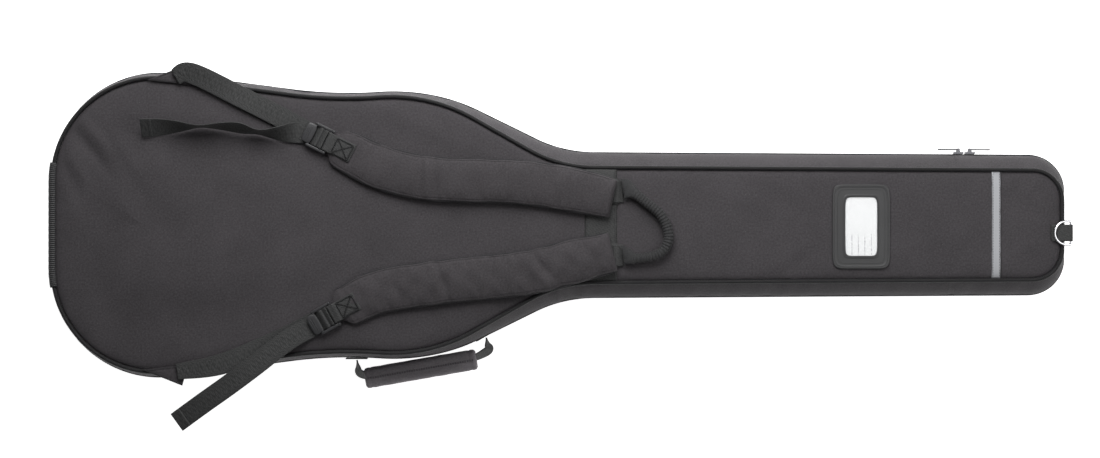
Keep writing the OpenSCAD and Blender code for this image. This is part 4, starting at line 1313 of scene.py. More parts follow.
@dataclass
class Bag:
    """The two halves, the hinge strip between them, the neck band and the reflective strip."""

    outline: Outline = field(default_factory=Outline)
    hinge_reach: float = 7.4

    def __post_init__(self) -> None:
        """Makes the two halves' descriptions."""
        self.back = PaddedHalf(self.outline, Side.BACK)
        self.front = PaddedHalf(self.outline, Side.FRONT)

    def hinge(self) -> None:
        """Strip of cloth round the tail between the zip's ends."""
        o = self.outline
        line = self.back.along(-self.back.hinge_s + 1, self.back.hinge_s - 1)
        t = np.linspace(-1, 1, 13)[None, :]
        d = line[:, 3:4] - 0.4 + 1.0 * (1 - t ** 2)
        z = o.zip_z + self.hinge_reach * t[0]
        p = np.stack([o.shifted(line, d[:, k], z[k]) for k in range(t.size)], 1)
        tail = -o.tail_r - 0.0087
        blend = ("front_half", "back_half", (tail * MM, 0, 0.046), (tail * MM, 0, 0.062))
        Piece("tail_hinge_cloth").grid(p, flip=True).done(
            PIPING, blend, ("tail_hinge",), thick=1.0, closed=False, slot="cloth")

    def cross_strip(self, name: str, x0: float, x1: float, lift: float, finish: Finish,
                    node: str, pucker: float) -> None:
        """Flat strip across the neck, its ends going down over the piping's inner edge.

        Args:
            name: name of the piece.
            x0: where it starts along the bag.
            x1: where it ends.
            lift: its height over the panel.
            finish: its material.
            node: CAD node that it stands for.
            pucker: size of the waves along its edges.
        """
        v = np.linspace(-1, 1, 61)[None, :]
        u = np.linspace(0, 1, 17)[:, None]
        x = x0 + (x1 - x0) * u + 0 * v
        reach = self.outline.half_width(x) - 2.2
        y = reach * v
        wave = pucker * ripple(y, 15, 3) * (np.abs(2 * u - 1) ** 3)
        edge = np.clip(np.minimum(u, 1 - u) * abs(x1 - x0), 0, 1.2) / 1.2
        z = self.back.deck(x, y) + lift * np.sqrt(edge) + wave * 0.5
        p = np.stack([x + wave, y, z], -1)
        Piece(name).grid(p, uv=p[..., :2] * MM).done(
            finish, "back_half", (node,), thick=0.6, closed=False)

    def hems(self) -> None:
        """Rows of thread beside the neck band, the strip and the cross seams."""
        box_band, box_strip = (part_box(n) for n in ("neck_band", "reflective_strip"))
        rows = [(box_band[0].x / MM + 3.0, 1.35), (box_band[1].x / MM - 3.0, 1.35),
                (box_strip[0].x / MM + 1.4, 0.75), (box_strip[1].x / MM - 1.4, 0.75),
                (box_strip[1].x / MM + 1.2, 0.15)]
        piece = Piece("cross_hems")
        n = 50
        for x, lift in rows:
            y = np.linspace(-1, 1, n) * (self.outline.half_width(np.array([x]))[0] - 4)
            z = self.back.deck(np.full(n, x), y) + lift
            piece.thread(np.stack([np.full(n, x), y, z], -1), 3.2, 0.3)
        piece.done(THREAD, "back_half")

    def build(self) -> None:
        """Makes the whole bag shell."""
        self.back.build()
        self.front.build()
        self.hinge()
        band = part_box("neck_band")
        self.cross_strip("neck_band_cloth", band[0].x / MM, band[1].x / MM, 1.3, WEBBING,
                         "neck_band", 0.35)
        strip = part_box("reflective_strip")
        self.cross_strip("reflective_strip_tape", strip[0].x / MM, strip[1].x / MM, 0.65, TAPE,
                         "reflective_strip", 0.15)
        self.hems()


@dataclass
class CardHolder:
    """Clear-fronted pocket for a name card, with a stitched and bound border."""

    bag: Bag
    corner_power: float = 9
    mouth_half: float = 27.6
    mouth_lift: float = 1.6

    def ring(self, half: tuple[float, float], lift: float) -> Array:
        """Closed rounded rectangle about the holder's middle, lying on the panel.

        Args:
            half: half sizes along x and y.
            lift: height over the holder's lowest level.
        Returns:
            points round the middle, raised where the card goes in.
        """
        low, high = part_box("id_frame")
        cx, cy = (low.x + high.x) / 2 / MM, (low.y + high.y) / 2 / MM
        a = np.linspace(0, 2 * math.pi, 121)[:-1]
        power = 2 / self.corner_power
        c, s = np.cos(a), np.sin(a)
        x = cx + half[0] * np.sign(c) * np.abs(c) ** power
        y = cy + half[1] * np.sign(s) * np.abs(s) ** power
        z = np.full(len(x), low.z / MM + lift)
        if lift < 0.5:
            z = self.bag.back.deck(x, y) - 0.2
        mouth = (y < cy - 20) & (np.abs(x - cx) < self.mouth_half)
        return np.stack([x, y, np.where(mouth, np.maximum(z, low.z / MM + self.mouth_lift), z)], -1)

    def build(self) -> None:
        """A bound border round the window, with two rows of thread, and the printed card."""
        low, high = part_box("id_frame")
        hx, hy = (high.x - low.x) / 2 / MM, (high.y - low.y) / 2 / MM
        rim = ((0, 0.1), (0.05, 1.3), (0.3, 1.8), (0.6, 1.95), (1.2, 1.97), (3.0, 1.97), (3.3, 1.93),
               (3.6, 1.66), (3.9, 1.6), (4.6, 1.6), (8.0, 1.6), (12.0, 1.6), (12.3, 1.63), (12.6, 1.9),
               (12.9, 1.95), (14.8, 1.95), (15.2, 1.85), (15.5, 1.6), (15.5, 1.2))
        rows = [self.ring((hx - d, hy - d), h) for d, h in rim]
        p = np.stack(rows, 1)
        Piece("id_frame_binding").grid(p, wrap_u=True, uv=p[..., :2] * MM).done(
            HOLDER, "back_half", ("id_frame",), thick=0.4, closed=False)
        seam = Piece("id_frame_stitching")
        for d, h in ((2.2, 2.1), (6.2, 1.68), (13.9, 2.2)):
            ring = self.ring((hx - d, hy - d), h)
            seam.thread(np.vstack([ring, ring[:1]]), 3.0, 0.28)
        seam.done(THREAD, "back_half")
        card_low, card_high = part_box("id_card")
        u, v = np.meshgrid(np.linspace(0, 1, 26), np.linspace(0, 1, 34), indexing="ij")
        x = (card_low.x + (card_high.x - card_low.x) * u) / MM
        y = (card_low.y + (card_high.y - card_low.y) * v) / MM
        z = card_low.z / MM + 0.25 + 0.3 * np.sin(math.pi * u) * np.sin(math.pi * v)
        uv = np.stack([u * CARD_L_M, v * CARD_W_M], -1)
        Piece("id_card_paper").grid(np.stack([x, y, z], -1), uv=uv).done(
            CARD, "id_card", ("id_card",), thick=0.3, closed=False)
        dress_node("id_window", WINDOW)


@dataclass
class HaulLoop:
    """Loop of rolled webbing, its flat folded ends sewn under patches on the band."""

    bag: Bag
    stops: tuple = ((7, 42, 1.6, 28, 3), (11, 42, 1, 25, 5), (21, 37, 0, 14, 9.5), (34, 27, 0, 12.5, 12.5),
                    (50, 14, 0, 12.5, 12.5), (59, -2, 0, 12.5, 12.5), (61, -17, 0, 12.5, 12.5),
                    (55, -30, 0, 12.5, 12.5), (43, -37, 0, 12.5, 12.5), (21, -40, 0, 13, 9.5),
                    (11, -37.5, 1, 22, 5), (7, -37.5, 1.6, 25, 3))

    def build(self) -> None:
        """A swept superellipse whose radius is rippled by the twill's diagonal ridges."""
        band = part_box("neck_band")
        deck = band[0].z / MM
        stops = np.array(self.stops, float)
        x, z = band[1].x / MM + stops[:, 0], deck + 0.3 + 6.25 - stops[:, 2]
        path = resample(smooth_stops(np.column_stack([x, stops[:, 1], z, stops[:, 3:]]), 12), 0.55)
        s = lengths_along(path[:, :3])
        a = 2 * math.pi * np.arange(28) / 28
        rope = ease((np.minimum(path[:, 3] / path[:, 4], 2.4) - 2.3) / -1.2)[:, None]
        ridge = 0.34 * np.sin(2 * math.pi * s[:, None] / 3.7 + 0.9 * np.sin(a)[None, :]) * rope
        crease = -0.9 * np.exp(-((a[None, :] - 5.6) / 0.16) ** 2) * rope
        section = rounded_section(28, 2.3)[None] * (path[:, None, 3:5] / 2 - 0.35)
        grow = 1 + (ridge + crease) / 6.0
        p = sweep(path[:, :3], section * grow[..., None])
        Piece("haul_loop_webbing").grid(p, wrap_v=True, caps=True).done(
            CORD_CLOTH, "haul_loop", ("haul_loop",))
        piece, seam = Piece("haul_loop_anchor_webbing"), Piece("haul_loop_stitching")
        for y0, y1 in ((25, 55), (-51, -22)):
            for k, (a0, a1) in enumerate(((-12.0, 0.6), (-9.0, 7.5))):
                u, v = np.meshgrid(np.linspace(0, 1, 9), np.linspace(0, 1, 17), indexing="ij")
                px = band[1].x / MM + a0 + (a1 - a0) * u
                py = y0 + 1.5 * k + (y1 - y0 - 3 * k) * v
                pz = deck + 2.9 + 0.7 * k - 2.4 * ease(u * 3 - 1.6) * k + 0.12 * ripple(py, 14, 6)
                grid = np.stack([px, py, pz], -1)
                piece.grid(grid, uv=grid[..., :2] * MM)
            for x in (-9.5, -4.5):
                at = np.linspace(y0 + 2, y1 - 2, 12)[:, None] * [0, 1, 0]
                seam.thread(at + [band[1].x / MM + x, 0, deck + 3.75], 2.6, 0.4)
        piece.done(WEBBING, "back_half", ("haul_loop_anchors",), thick=0.9, closed=False)
        seam.done(THREAD, "back_half")


@dataclass
class Ring:
    """The metal ring and its tab at the head."""

    fold_r: float = 2.7
    bar_from_end: float = 3.4
    bar_from_top: float = 3.3

    def build(self) -> None:
        """Webbing folded round the ring's straight side and sewn to the head."""
        dress_node("d_ring", CHROME)
        low, high = (np.array(c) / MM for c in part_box("d_ring_tab"))
        width = np.linspace(-1, 1, 11)[None, :]
        bar = (high[0] - self.bar_from_end, high[2] - self.bar_from_top)
        top = np.array([[low[0] + 1, low[2] + 1.9], [low[0] + 7, low[2] + 2.0], [low[0] + 12, low[2] + 3.0]])
        turn = np.array([[bar[0] + self.fold_r * math.cos(k), bar[1] + self.fold_r * math.sin(k)]
                         for k in np.linspace(math.pi * 0.5, -math.pi * 0.6, 12)])
        line = np.vstack([top, turn])
        mid = (low[1] + high[1]) / 2
        p = np.zeros((len(line), width.size, 3))
        p[..., 0], p[..., 2] = line[:, None, 0], line[:, None, 1]
        p[..., 1] = mid + width * (high[1] - low[1]) / 2
        Piece("d_ring_tab_webbing").grid(p).done(
            WEBBING, "back_half", ("d_ring_tab",), thick=1.0, closed=False)
        seam = Piece("d_ring_tab_stitching")
        for k in (3, 8):
            y = np.linspace(low[1] + 2, high[1] - 2, 8)[:, None] * [0, 1, 0]
            seam.thread(y + [low[0] + k, 0, low[2] + 2.3], 2.4, 0.35)
        seam.done(THREAD, "back_half")


@dataclass
class Ribbon:
    """Webbing along stops of x, y, z, width, thickness and roll in degrees."""

    name: str
    stops: Array
    per_span: int = 14
    cloth_w: float = 25

    def shape(self, pitch: float = 1.6) -> Array:
        """A flat superellipse swept along the smoothed stops.

        Args:
            pitch: distance between rows.
        Returns:
            (n, 36, 3) points.
        """
        path = resample(smooth_stops(self.stops, self.per_span), pitch)
        section = rounded_section(36, 5.0)[None] * path[:, None, 3:5] / 2
        return sweep(path[:, :3], section, np.radians(path[:, 5]))

    def cloth_uv(self, p: Array) -> Array:
        """Distance along the ribbon, and across it from the first edge.

        Args:
            p: points from shape.
        Returns:
            cloth coordinates in metres.
        """
        s = lengths_along(p.mean(1))
        across = np.abs(np.linspace(-1, 1, p.shape[1])) * self.cloth_w
        return np.stack(np.meshgrid(s, across, indexing="ij"), -1) * MM

    def build(self, finish: Finish, body: str | tuple, replaces: tuple[str, ...]) -> None:
        """Makes the ribbon one closed piece."""
        p = self.shape()
        Piece(self.name).grid(p, wrap_v=True, caps=True, uv=self.cloth_uv(p)).done(finish, body, replaces)


@dataclass
class ShoulderStrap:
    """Padded strap, ladder lock, webbing with its free tail, and the webbing's anchor.

    route holds the pad's middle, x from the seam at the neck band and y. under and
    tail_ahead are places under the lock. web_stops holds the share of the way from the
    anchor to the lock in x and y, shifts in x and y, whether it passes over the anchor,
    a rise, a width and a roll. tail_stops holds x, y, rise and roll. folds holds the
    distance along the pad, width, height and slant of each crease.
    """

    bag: Bag
    name: str
    route: tuple
    sign: int
    under: tuple[float, float]
    tail_ahead: tuple[float, float]
    web_stops: tuple
    tail_stops: tuple
    folds: tuple
    anchor_at: tuple[float, float]
    pad_w: float = 51
    end_w: float = 39
    pad_t: float = 9
    end_t: float = 5.5
    webbing_w: float = 25
    webbing_t: float = 1.5
    anchor_t: float = 2.4
    gap: float = 0.3
    tail_lean: float = 5
    lock_ahead: float = 5.5
    bar_r: float = 1.7
    seam_inset: float = 5

    def __post_init__(self) -> None:
        """Works out levels, the route's end and its direction."""
        self.seam_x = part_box("neck_band")[1].x / MM - self.seam_inset
        self.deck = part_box("neck_band")[0].z / MM
        self.strap_z = self.deck + 2 * self.webbing_t + self.gap + self.pad_t / 2
        self.end_z = self.deck + self.anchor_t + self.end_t / 2
        a, b = np.array(self.route[-2]), np.array(self.route[-1])
        self.end = np.array([self.seam_x + b[0], b[1]])
        self.turn = math.atan2(*(b - a)[::-1])
        self.lock_z = self.deck + 6.4

    def at_lock(self, p: Array) -> Array:
        """Points from the ladder lock's own frame: +X towards the thumb tab."""
        moved = turned(p + np.array([self.lock_ahead, 0, 0]), math.degrees(self.turn))
        return moved + np.array([self.end[0], self.end[1], self.lock_z])

    def pad(self) -> None:
        """Puffed strap with bound edges: the face drops into a seam near each edge.

        The half thickness follows a superellipse across the strap, less a bell at each
        seam, and folds across it lower it where cloth has gathered.
        """
        n = len(self.route)
        u = np.arange(n) / (n - 1)
        narrow, thin = np.clip(u - 0.6, 0, None) / 0.4, ease((u - 0.5) / 0.32)
        width = self.pad_w + (self.end_w - self.pad_w) * narrow ** 2
        width[0] -= 5
        rows = np.column_stack([
            self.seam_x + np.array(self.route)[:, 0], np.array(self.route)[:, 1],
            self.strap_z + (self.end_z - self.strap_z) * thin, width,
            self.pad_t + (self.end_t - self.pad_t) * thin])
        path = resample(smooth_stops(rows, 30), 1.7)
        s = lengths_along(path[:, :3])
        total = s[-1]
        ends = np.clip(np.minimum(s / 5.0, (total - s) / 16.0), 0, 1)
        flat = np.sqrt(1 - (1 - ends) ** 2).clip(0.12)
        tongue = np.sqrt(1 - (1 - np.clip((total - s) / 13.0, 0, 1)) ** 2).clip(0.72)
        points = 96
        a = np.linspace(0, 2 * math.pi, points + 1)[:-1]
        across = np.cos(a)
        tall = np.sign(np.sin(a)) * np.abs(np.sin(a)) ** 0.62
        half_w = path[:, 3:4] / 2 * tongue[:, None]
        edge = half_w - np.abs(across) * half_w
        wave = 0.5 * ripple(s, 13, 21 + self.sign)[:, None] * np.exp(-((edge - 5) / 6) ** 2)
        lumps = 0.6 * blotch(s[:, None], across * half_w, 34, 5 - self.sign)
        seam = sum(deep * np.exp(-((edge - at) / w) ** 2)
                   for deep, at, w in ((0.8, 2.4, 0.8), (0.25, 6.0, 0.5)))
        dent = sum(1.5 * h * np.exp(-((s[:, None] - at + slant * across * half_w) / w) ** 2)
                   for at, w, h, slant in self.folds)
        half_t = path[:, 4:5] / 2 * flat[:, None]
        top = half_t + (1.8 * (1 - np.abs(across) ** 3) + wave + lumps - seam + dent) * flat[:, None]
        low = half_t - 0.1
        side_wave = 0.5 * ripple(s, 40, 31 + self.sign)[:, None] * across
        sec = np.stack([across * half_w + side_wave, np.where(tall > 0, top, low) * tall], -1)
        p = sweep(path[:, :3], sec)
        girth = np.cumsum(np.abs(np.gradient(across)))[None] * half_w
        uv = np.stack([s[:, None] + 0 * a, girth], -1) * MM
        Piece(self.name + "_strap_padding").grid(p, wrap_v=True, caps=True, uv=uv).done(
            STRAP_CLOTH, self.name + "_strap", (self.name + "_strap_pad",), fill=0.6)
        binding, thread = Piece(self.name + "_strap_binding"), Piece(self.name + "_strap_stitching")
        wide = unit(np.cross(np.array([0.0, 0.0, 1.0]), unit(np.gradient(path[:, :3], axis=0))))
        for sign in (1, -1):
            rim = path[:, :3] + wide * sign * (half_w - 0.9) - [0, 0, 1.0]
            ring = rounded_section(14, 2.4) * [2.1, 1.9]
            keep = slice(4, len(rim) - 8)
            size = 0.55 + 0.45 * flat[keep, None, None]
            binding.grid(sweep(rim[keep], ring * size), wrap_v=True, caps=True)
            column = points // 4 - sign * int(points * 0.20)
            thread.thread(p[6:-12, column] + [0, 0, 0.12], 3.0, 0.28)
        binding.done(SPACER, self.name + "_strap")
        thread.done(THREAD, self.name + "_strap")

    def patch(self) -> None:
        """Webbing sewn on the pad with a crossed square, its fold round the base bar."""
        w = self.webbing_w / 2 - 1
        wrap = np.linspace(-0.5, 0.93, 18) * math.pi
        r = self.bar_r + 0.4 + self.webbing_t / 2
        back = self.end_z + self.end_t / 2 + 1.0 - self.lock_z + self.webbing_t / 2
        flat = np.column_stack([np.linspace(-34, -4, 16), np.full(16, back + 0.5)])
        flat[-4:, 1] += np.array([0.1, 0.3, 0.55, 0.8])
        loop = np.column_stack([r * np.sin(wrap[::-1] + math.pi / 2), -r * np.cos(wrap[::-1] + math.pi / 2)])
        line = np.vstack([flat, loop[4:]])
        v = np.linspace(-1, 1, 15)
        p = np.zeros((len(line), v.size, 3))
        p[..., 0], p[..., 2] = line[:, :1], line[:, 1:]
        p[..., 1] = w * v
        p[..., 2] -= 0.5 * np.abs(v) ** 3 * (line[:, :1] < -6)
        Piece(self.name + "_patch_webbing").grid(self.at_lock(p)).done(
            WEBBING, self.name + "_strap", (self.name + "_strap_patch",), thick=1.2, closed=False)
        x0, x1, y = -31, -10, 9.5
        box = np.array([[x0, -y], [x1, -y], [x1, y], [x0, y], [x0, -y], [x1, y], [x1, -y], [x0, y]])
        # The crossed-square stitches are drawn thick and near black: real thread, plus the painted shade of
        # the sunken stitched seam.
        seam = Piece(self.name + "_patch_stitching")
        for a, b in zip(box[:-1], box[1:]):
            t = np.linspace(0, 1, 14)[:, None]
            q = np.hstack([a + (b - a) * t, np.full(t.shape, back + 0.75)])
            seam.thread(self.at_lock(q + [0, 0, 0.25]), 1.8, 0.95)
        seam.done(THREAD, self.name + "_strap")

    def buckle(self) -> None:
        """Moulded ladder lock: two rails, three bars and a thumb tab with grip ridges."""
        lock = Piece(self.name + "_buckle_body")
        half = self.webbing_w / 2 + 3
        for s in (-1, 1):
            lock.grid(self.at_lock(pillow((9.8, s * (half - 1.6), 0), (12.6, 1.7, 2.4), 4.5)), wrap_v=True)
        for x, lift in ((0, 0), (10.5, 0.2), (20, 0.3)):
            lock.grid(self.at_lock(pillow((x, 0, lift), (1.75, half - 1.0, 1.65), 3.0)), wrap_v=True)
        lock.grid(self.at_lock(pillow((24.0, 0, 0.9), (6.4, half - 3.2, 1.2), 3.4)), wrap_v=True)
        for x in (23.5, 26.0, 28.4):
            ridge = pillow((x, 0, 2.0), (0.55, half - 6 - (x - 23) * 0.6, 0.5), 3.0)
            lock.grid(self.at_lock(ridge), wrap_v=True)
        for s in (-1, 1):
            lock.grid(self.at_lock(pillow((-2.0, s * (half - 1.6), 0.1), (1.9, 2.1, 2.5), 3.0)), wrap_v=True)
        lock.done(PLASTIC, self.name + "_buckle", (self.name + "_buckle",))

    def spot(self, ahead: float, aside: float) -> Array:
        """Place under the lock, ahead of its base bar and to its side.

        Args:
            ahead: distance along the route's end.
            aside: distance to its left.
        Returns:
            x and y of the place.
        """
        a = self.turn
        along = self.lock_ahead + ahead
        return self.end + np.array([along * math.cos(a) - aside * math.sin(a),
                                    along * math.sin(a) + aside * math.cos(a)])

    def webbing(self) -> None:
        """The ribbon to the anchor, the free tail, and the webbing seen through the lock."""
        e, a = self.spot(*self.under), np.array(self.anchor_at)
        low = self.deck + 0.2 + self.webbing_t / 2
        high = self.deck + 0.1 + self.anchor_t + self.webbing_t
        base = np.array([[a[0] + (e[0] - a[0]) * fx + dx, a[1] + (e[1] - a[1]) * fy + dy,
                          (high if near else low) + dz, w, self.webbing_t, roll]
                         for fx, fy, dx, dy, near, dz, w, roll in self.web_stops], float)
        level_z = 0.1
        blend = ("back_half", self.name + "_strap", (a[0] * MM, a[1] * MM, level_z),
                 (e[0] * MM, e[1] * MM, level_z))
        Ribbon(self.name + "_strap_webbing", base).build(WEBBING, blend, (self.name + "_webbing",))
        t = self.spot(*self.tail_ahead)
        lean = self.webbing_w / 2 * math.sin(math.radians(self.tail_lean))
        z = low + self.webbing_t + lean - self.gap
        tail = np.array([[t[0] + x, t[1] + y, z + dz, self.webbing_w, self.webbing_t, roll]
                         for x, y, dz, roll in self.tail_stops], float)
        free = Ribbon(self.name + "_tail_webbing", tail)
        p = free.shape()
        tip = p[-9:, :].copy()
        piece = Piece(free.name).grid(p, wrap_v=True, caps=True, uv=free.cloth_uv(p))
        out = np.array([0, 0, self.webbing_t * 0.9])
        piece.grid(tip + out, wrap_v=True, caps=True, uv=free.cloth_uv(tip))
        piece.done(WEBBING, self.name + "_strap", (self.name + "_webbing_tail",))
        across = p[-7, :p.shape[1] // 2 + 1]
        seam = Piece(self.name + "_tail_stitching")
        seam.thread(across[4:-4] + out * 1.15, 2.2, 0.36)
        seam.done(THREAD, self.name + "_strap")
        line = np.array([[-2.5, 4.6], [2.0, 4.4], [5.5, 3.2], [8.5, 0.9], [10.2, 2.55], [12.4, 2.2],
                         [15.5, -0.6], [18.0, -2.6], [21.0, -3.4]])
        line = smooth_stops(line, 5)
        v = np.linspace(-1, 1, 13)
        q = np.zeros((len(line), v.size, 3))
        q[..., 0], q[..., 2] = line[:, :1], line[:, 1:] * 0.92
        q[..., 1] = (self.webbing_w / 2 - 0.6) * v
        keep = line[:, 0] > 3.2
        Piece(self.name + "_lock_webbing").grid(self.at_lock(q[keep])).done(
            WEBBING, self.name + "_strap", thick=1.1, closed=False)

    def anchor(self) -> None:
        """Triangular gusset with a double seam along its two free edges."""
        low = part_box(self.name + "_strap_anchor")[0]
        y_half = self.bag.outline.lower_w / 2
        a = self.anchor_at
        tri = np.array([[a[0] - 46, self.sign * (y_half - 3)], [a[0] + 2, self.sign * (y_half + 16)],
                        [a[0] + 9, self.sign * (y_half - 9)]])
        u, v = np.meshgrid(np.linspace(0, 1, 25), np.linspace(0, 1, 25), indexing="ij")
        far_edge = tri[1] * (1 - v)[..., None] + tri[2] * v[..., None]
        flat = tri[0] * (1 - u)[..., None] + far_edge * u[..., None]
        puff = 0.9 * np.sin(math.pi * u) * np.sin(math.pi * v)
        z = low.z / MM + 1.4 + puff + 0.25 * ripple(u * 50, 11, 4)
        p = np.concatenate([flat, z[..., None]], -1)
        Piece(self.name + "_anchor_gusset").grid(p, flip=self.sign > 0).done(
            CLOTH, "back_half", (self.name + "_strap_anchor",), thick=1.6, closed=False)
        seam = Piece(self.name + "_anchor_stitching")
        mid = tri.mean(0)
        for inset in (0.1, 0.2):
            corners = tri + (mid - tri) * inset
            for k, j in ((0, 1), (1, 2), (2, 0)):
                t = np.linspace(0, 1, 16)[:, None]
                q = corners[k] + (corners[j] - corners[k]) * t
                q = np.hstack([q, np.full(t.shape, low.z / MM + 2.05 + inset * 2.5)])
                seam.thread(q, 2.6, 0.3)
        seam.done(THREAD, "back_half")

    def build(self) -> None:
        """Makes every piece of the strap."""
        self.pad()
        self.patch()
        self.buckle()
        self.webbing()
        self.anchor()


def both_straps(bag: Bag) -> tuple[ShoulderStrap, ShoulderStrap]:
    """The right strap on the +Y side and the left one.

    Args:
        bag: the bag that they lie on.
    Returns:
        the right strap and the left one.
    """
    wide = bag.outline.lower_w / 2
    right = ShoulderStrap(
        bag, "right",
        ((0, 31), (-49, 42), (-114, 51), (-214, 55), (-272, 67), (-316, 87), (-336, 97)), 1,
        (14, 2), (16, -2),
        ((0, 0, -12, -6, True, 1, 19, 8), (0, 0, 8, -1, True, 3, 25, 12), (0.45, 0.4, 0, 0, True, 1, 25, 0),
         (0.8, 0.76, 0, 0, False, 1, 25, 0), (1, 1, 0, 0, False, 0, 25, 0)),
        ((0, 0, 0, 0), (-20, 2, 1, -5), (-44, 1, 9, -50), (-67, 2, 12.5, -78), (-90, 7, 12, -62),
         (-112, 9, 12.5, -72), (-138, 9, 13.5, -86), (-164, 9, 11, -60), (-188, 8, 8.5, -38),
         (-208, 7, 8, -32)),
        ((34, 9, -0.7, 0.0), (64, 5, 0.5, 0.2), (214, 5, -1.0, 0.15), (224, 4, 0.8, 0.12),
         (233, 5, -0.8, 0.1), (120, 16, 0.5, 0.3), (300, 9, -0.5, -0.2), (168, 12, -0.4, 0.1)),
        (36, wide + 6))
    left = ShoulderStrap(
        bag, "left",
        ((0, -32), (-49, -44), (-104, -57), (-204, -68), (-276, -79), (-314, -95), (-330, -104)), -1,
        (14, -2), (16, 1),
        ((0, 0, -4, 4, True, 1, 19, 0), (0.3, 0.2, 0, 0, True, 1, 25, 0),
         (0.7, 0.62, 0, 0, False, 0.6, 25, 0), (1, 1, 0, 0, False, 0, 25, 0)),
        ((0, 0, 0, 0), (-16, -8.5, 0.1, 0), (-32, -17, 2.5, 0), (-52, -31, 5, 0), (-76, -50, 6.5, 0),
         (-108, -74, 6, 0), (-142, -98, 0, 0), (-174, -121, -12, 0)),
        ((26, 6, -0.8, 0.2), (44, 7, 0.6, 0.4), (84, 5, -0.9, 0.5), (96, 6, 0.7, 0.45),
         (150, 5, -1.0, -0.2), (160, 5, 0.8, -0.2), (206, 5, -0.9, 0.2), (216, 5, 0.7, 0.2),
         (262, 6, -0.7, 0.3), (306, 7, -0.5, 0)),
        (30, -wide - 3))
    return right, left


@dataclass
class CarryHandle:
    """Webbing handle with a padded sleeve on the -Y side."""

    span_turn: float = 9.883
    origin: tuple[float, float] = (236.275, -163.0)
    span: float = 159.592
    out: float = 25
    grip: tuple[float, float, float] = (137, 25, 25)
    web_t: float = 2

    def at(self, p: Array) -> Array:
        """Points from the handle's own frame, -Y out of the bag.

        Args:
            p: points in the handle's frame.
        Returns:
            the points in the object's frame.
        """
        low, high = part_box("handle_grip")
        z = (low.z + high.z) / 2 / MM
        return turned(p, self.span_turn) + np.array([self.origin[0], self.origin[1], z])

    def build(self) -> None:
        """A sleeve with a seam along its top, pulled in at its bound ends, on flat webbing."""
        length, wide, tall = self.grip
        x0 = (self.span - length) / 2 - 5
        n, points = 90, 48
        u = np.linspace(0, 1, n)
        ends = np.clip(np.minimum(u, 1 - u) * length / 4.0, 0, 1)
        size = 0.80 + 0.20 * np.sqrt(1 - (1 - ends) ** 2)
        size = size - 0.05 * np.exp(-((np.minimum(u, 1 - u) * length - 8) / 1.2) ** 2)
        size = size + 0.012 * ripple(u * length, 16, 6)
        a = 2 * math.pi * np.arange(points) / points
        ring = rounded_section(points, 3.2)
        seam = 1 - 0.07 * np.exp(-((a - math.pi * 0.5) / 0.09) ** 2)
        p = np.zeros((n, points, 3))
        p[..., 0] = (x0 + u * length)[:, None]
        p[..., 1] = -self.out + ring[:, 0] * wide / 2 * size[:, None] * seam
        p[..., 2] = ring[:, 1] * tall / 2 * size[:, None] * seam
        flat = [(p[0] + (p[0].mean(0) - p[0]) * k)[None] for k in (0.75, 0.3)]
        back = [(p[-1] + (p[-1].mean(0) - p[-1]) * k)[None] for k in (0.3, 0.75)]
        sleeve = np.concatenate(flat + [p] + back)
        # The sleeve's colour is painted light: far lighter than the strap cloth it matches.
        Piece("handle_grip_sleeve").grid(self.at(sleeve), wrap_v=True, caps=True).done(
            GRIP_CLOTH_PAINTED_LIGHT, "carry_handle", ("handle_grip",), fill=0.7)
        stops = ((0, -1.3, 6, 90), (0, -9, 16, 70), (0.5, -17, 20, 58), (x0 + 5, -self.out + 1, 20, 70),
                 (x0 + 16, -self.out, 18, 90), (x0 + length - 16, -self.out, 18, 90),
                 (x0 + length - 5, -self.out + 1, 20, 70), (self.span - 0.5, -17, 20, 58),
                 (self.span, -9, 16, 70), (self.span, -1.3, 6, 90))
        rows = smooth_stops(np.array(stops, float), 9)
        path = np.column_stack([rows[:, :2], np.zeros(len(rows))])
        size = np.column_stack([rows[:, 2] / 2, np.full(len(rows), self.web_t / 2)])
        section = rounded_section(28, 4.0)[None] * size[:, None]
        p = sweep(path, section, np.radians(rows[:, 3]))
        Piece("handle_webbing_band").grid(self.at(p), wrap_v=True, caps=True).done(
            WEBBING, "carry_handle", ("handle_webbing",))
        thread = Piece("handle_stitching")
        for h in (-0.6, 0.6):
            q = np.column_stack([np.linspace(x0 + 3, x0 + length - 3, 50), np.full(50, -self.out + h),
                                 np.full(50, tall / 2 * 0.97)])
            thread.thread(self.at(q), 3.0, 0.3)
        thread.done(THREAD, "carry_handle")
        dress_node("handle_anchors", Woven(
            "anchor_webbing", "webbing", WEBBING.colour, 0.66, pitch=1.25, stretch=1.5, shift=0.5,
            relief=0.34, space=Space.OBJECT))


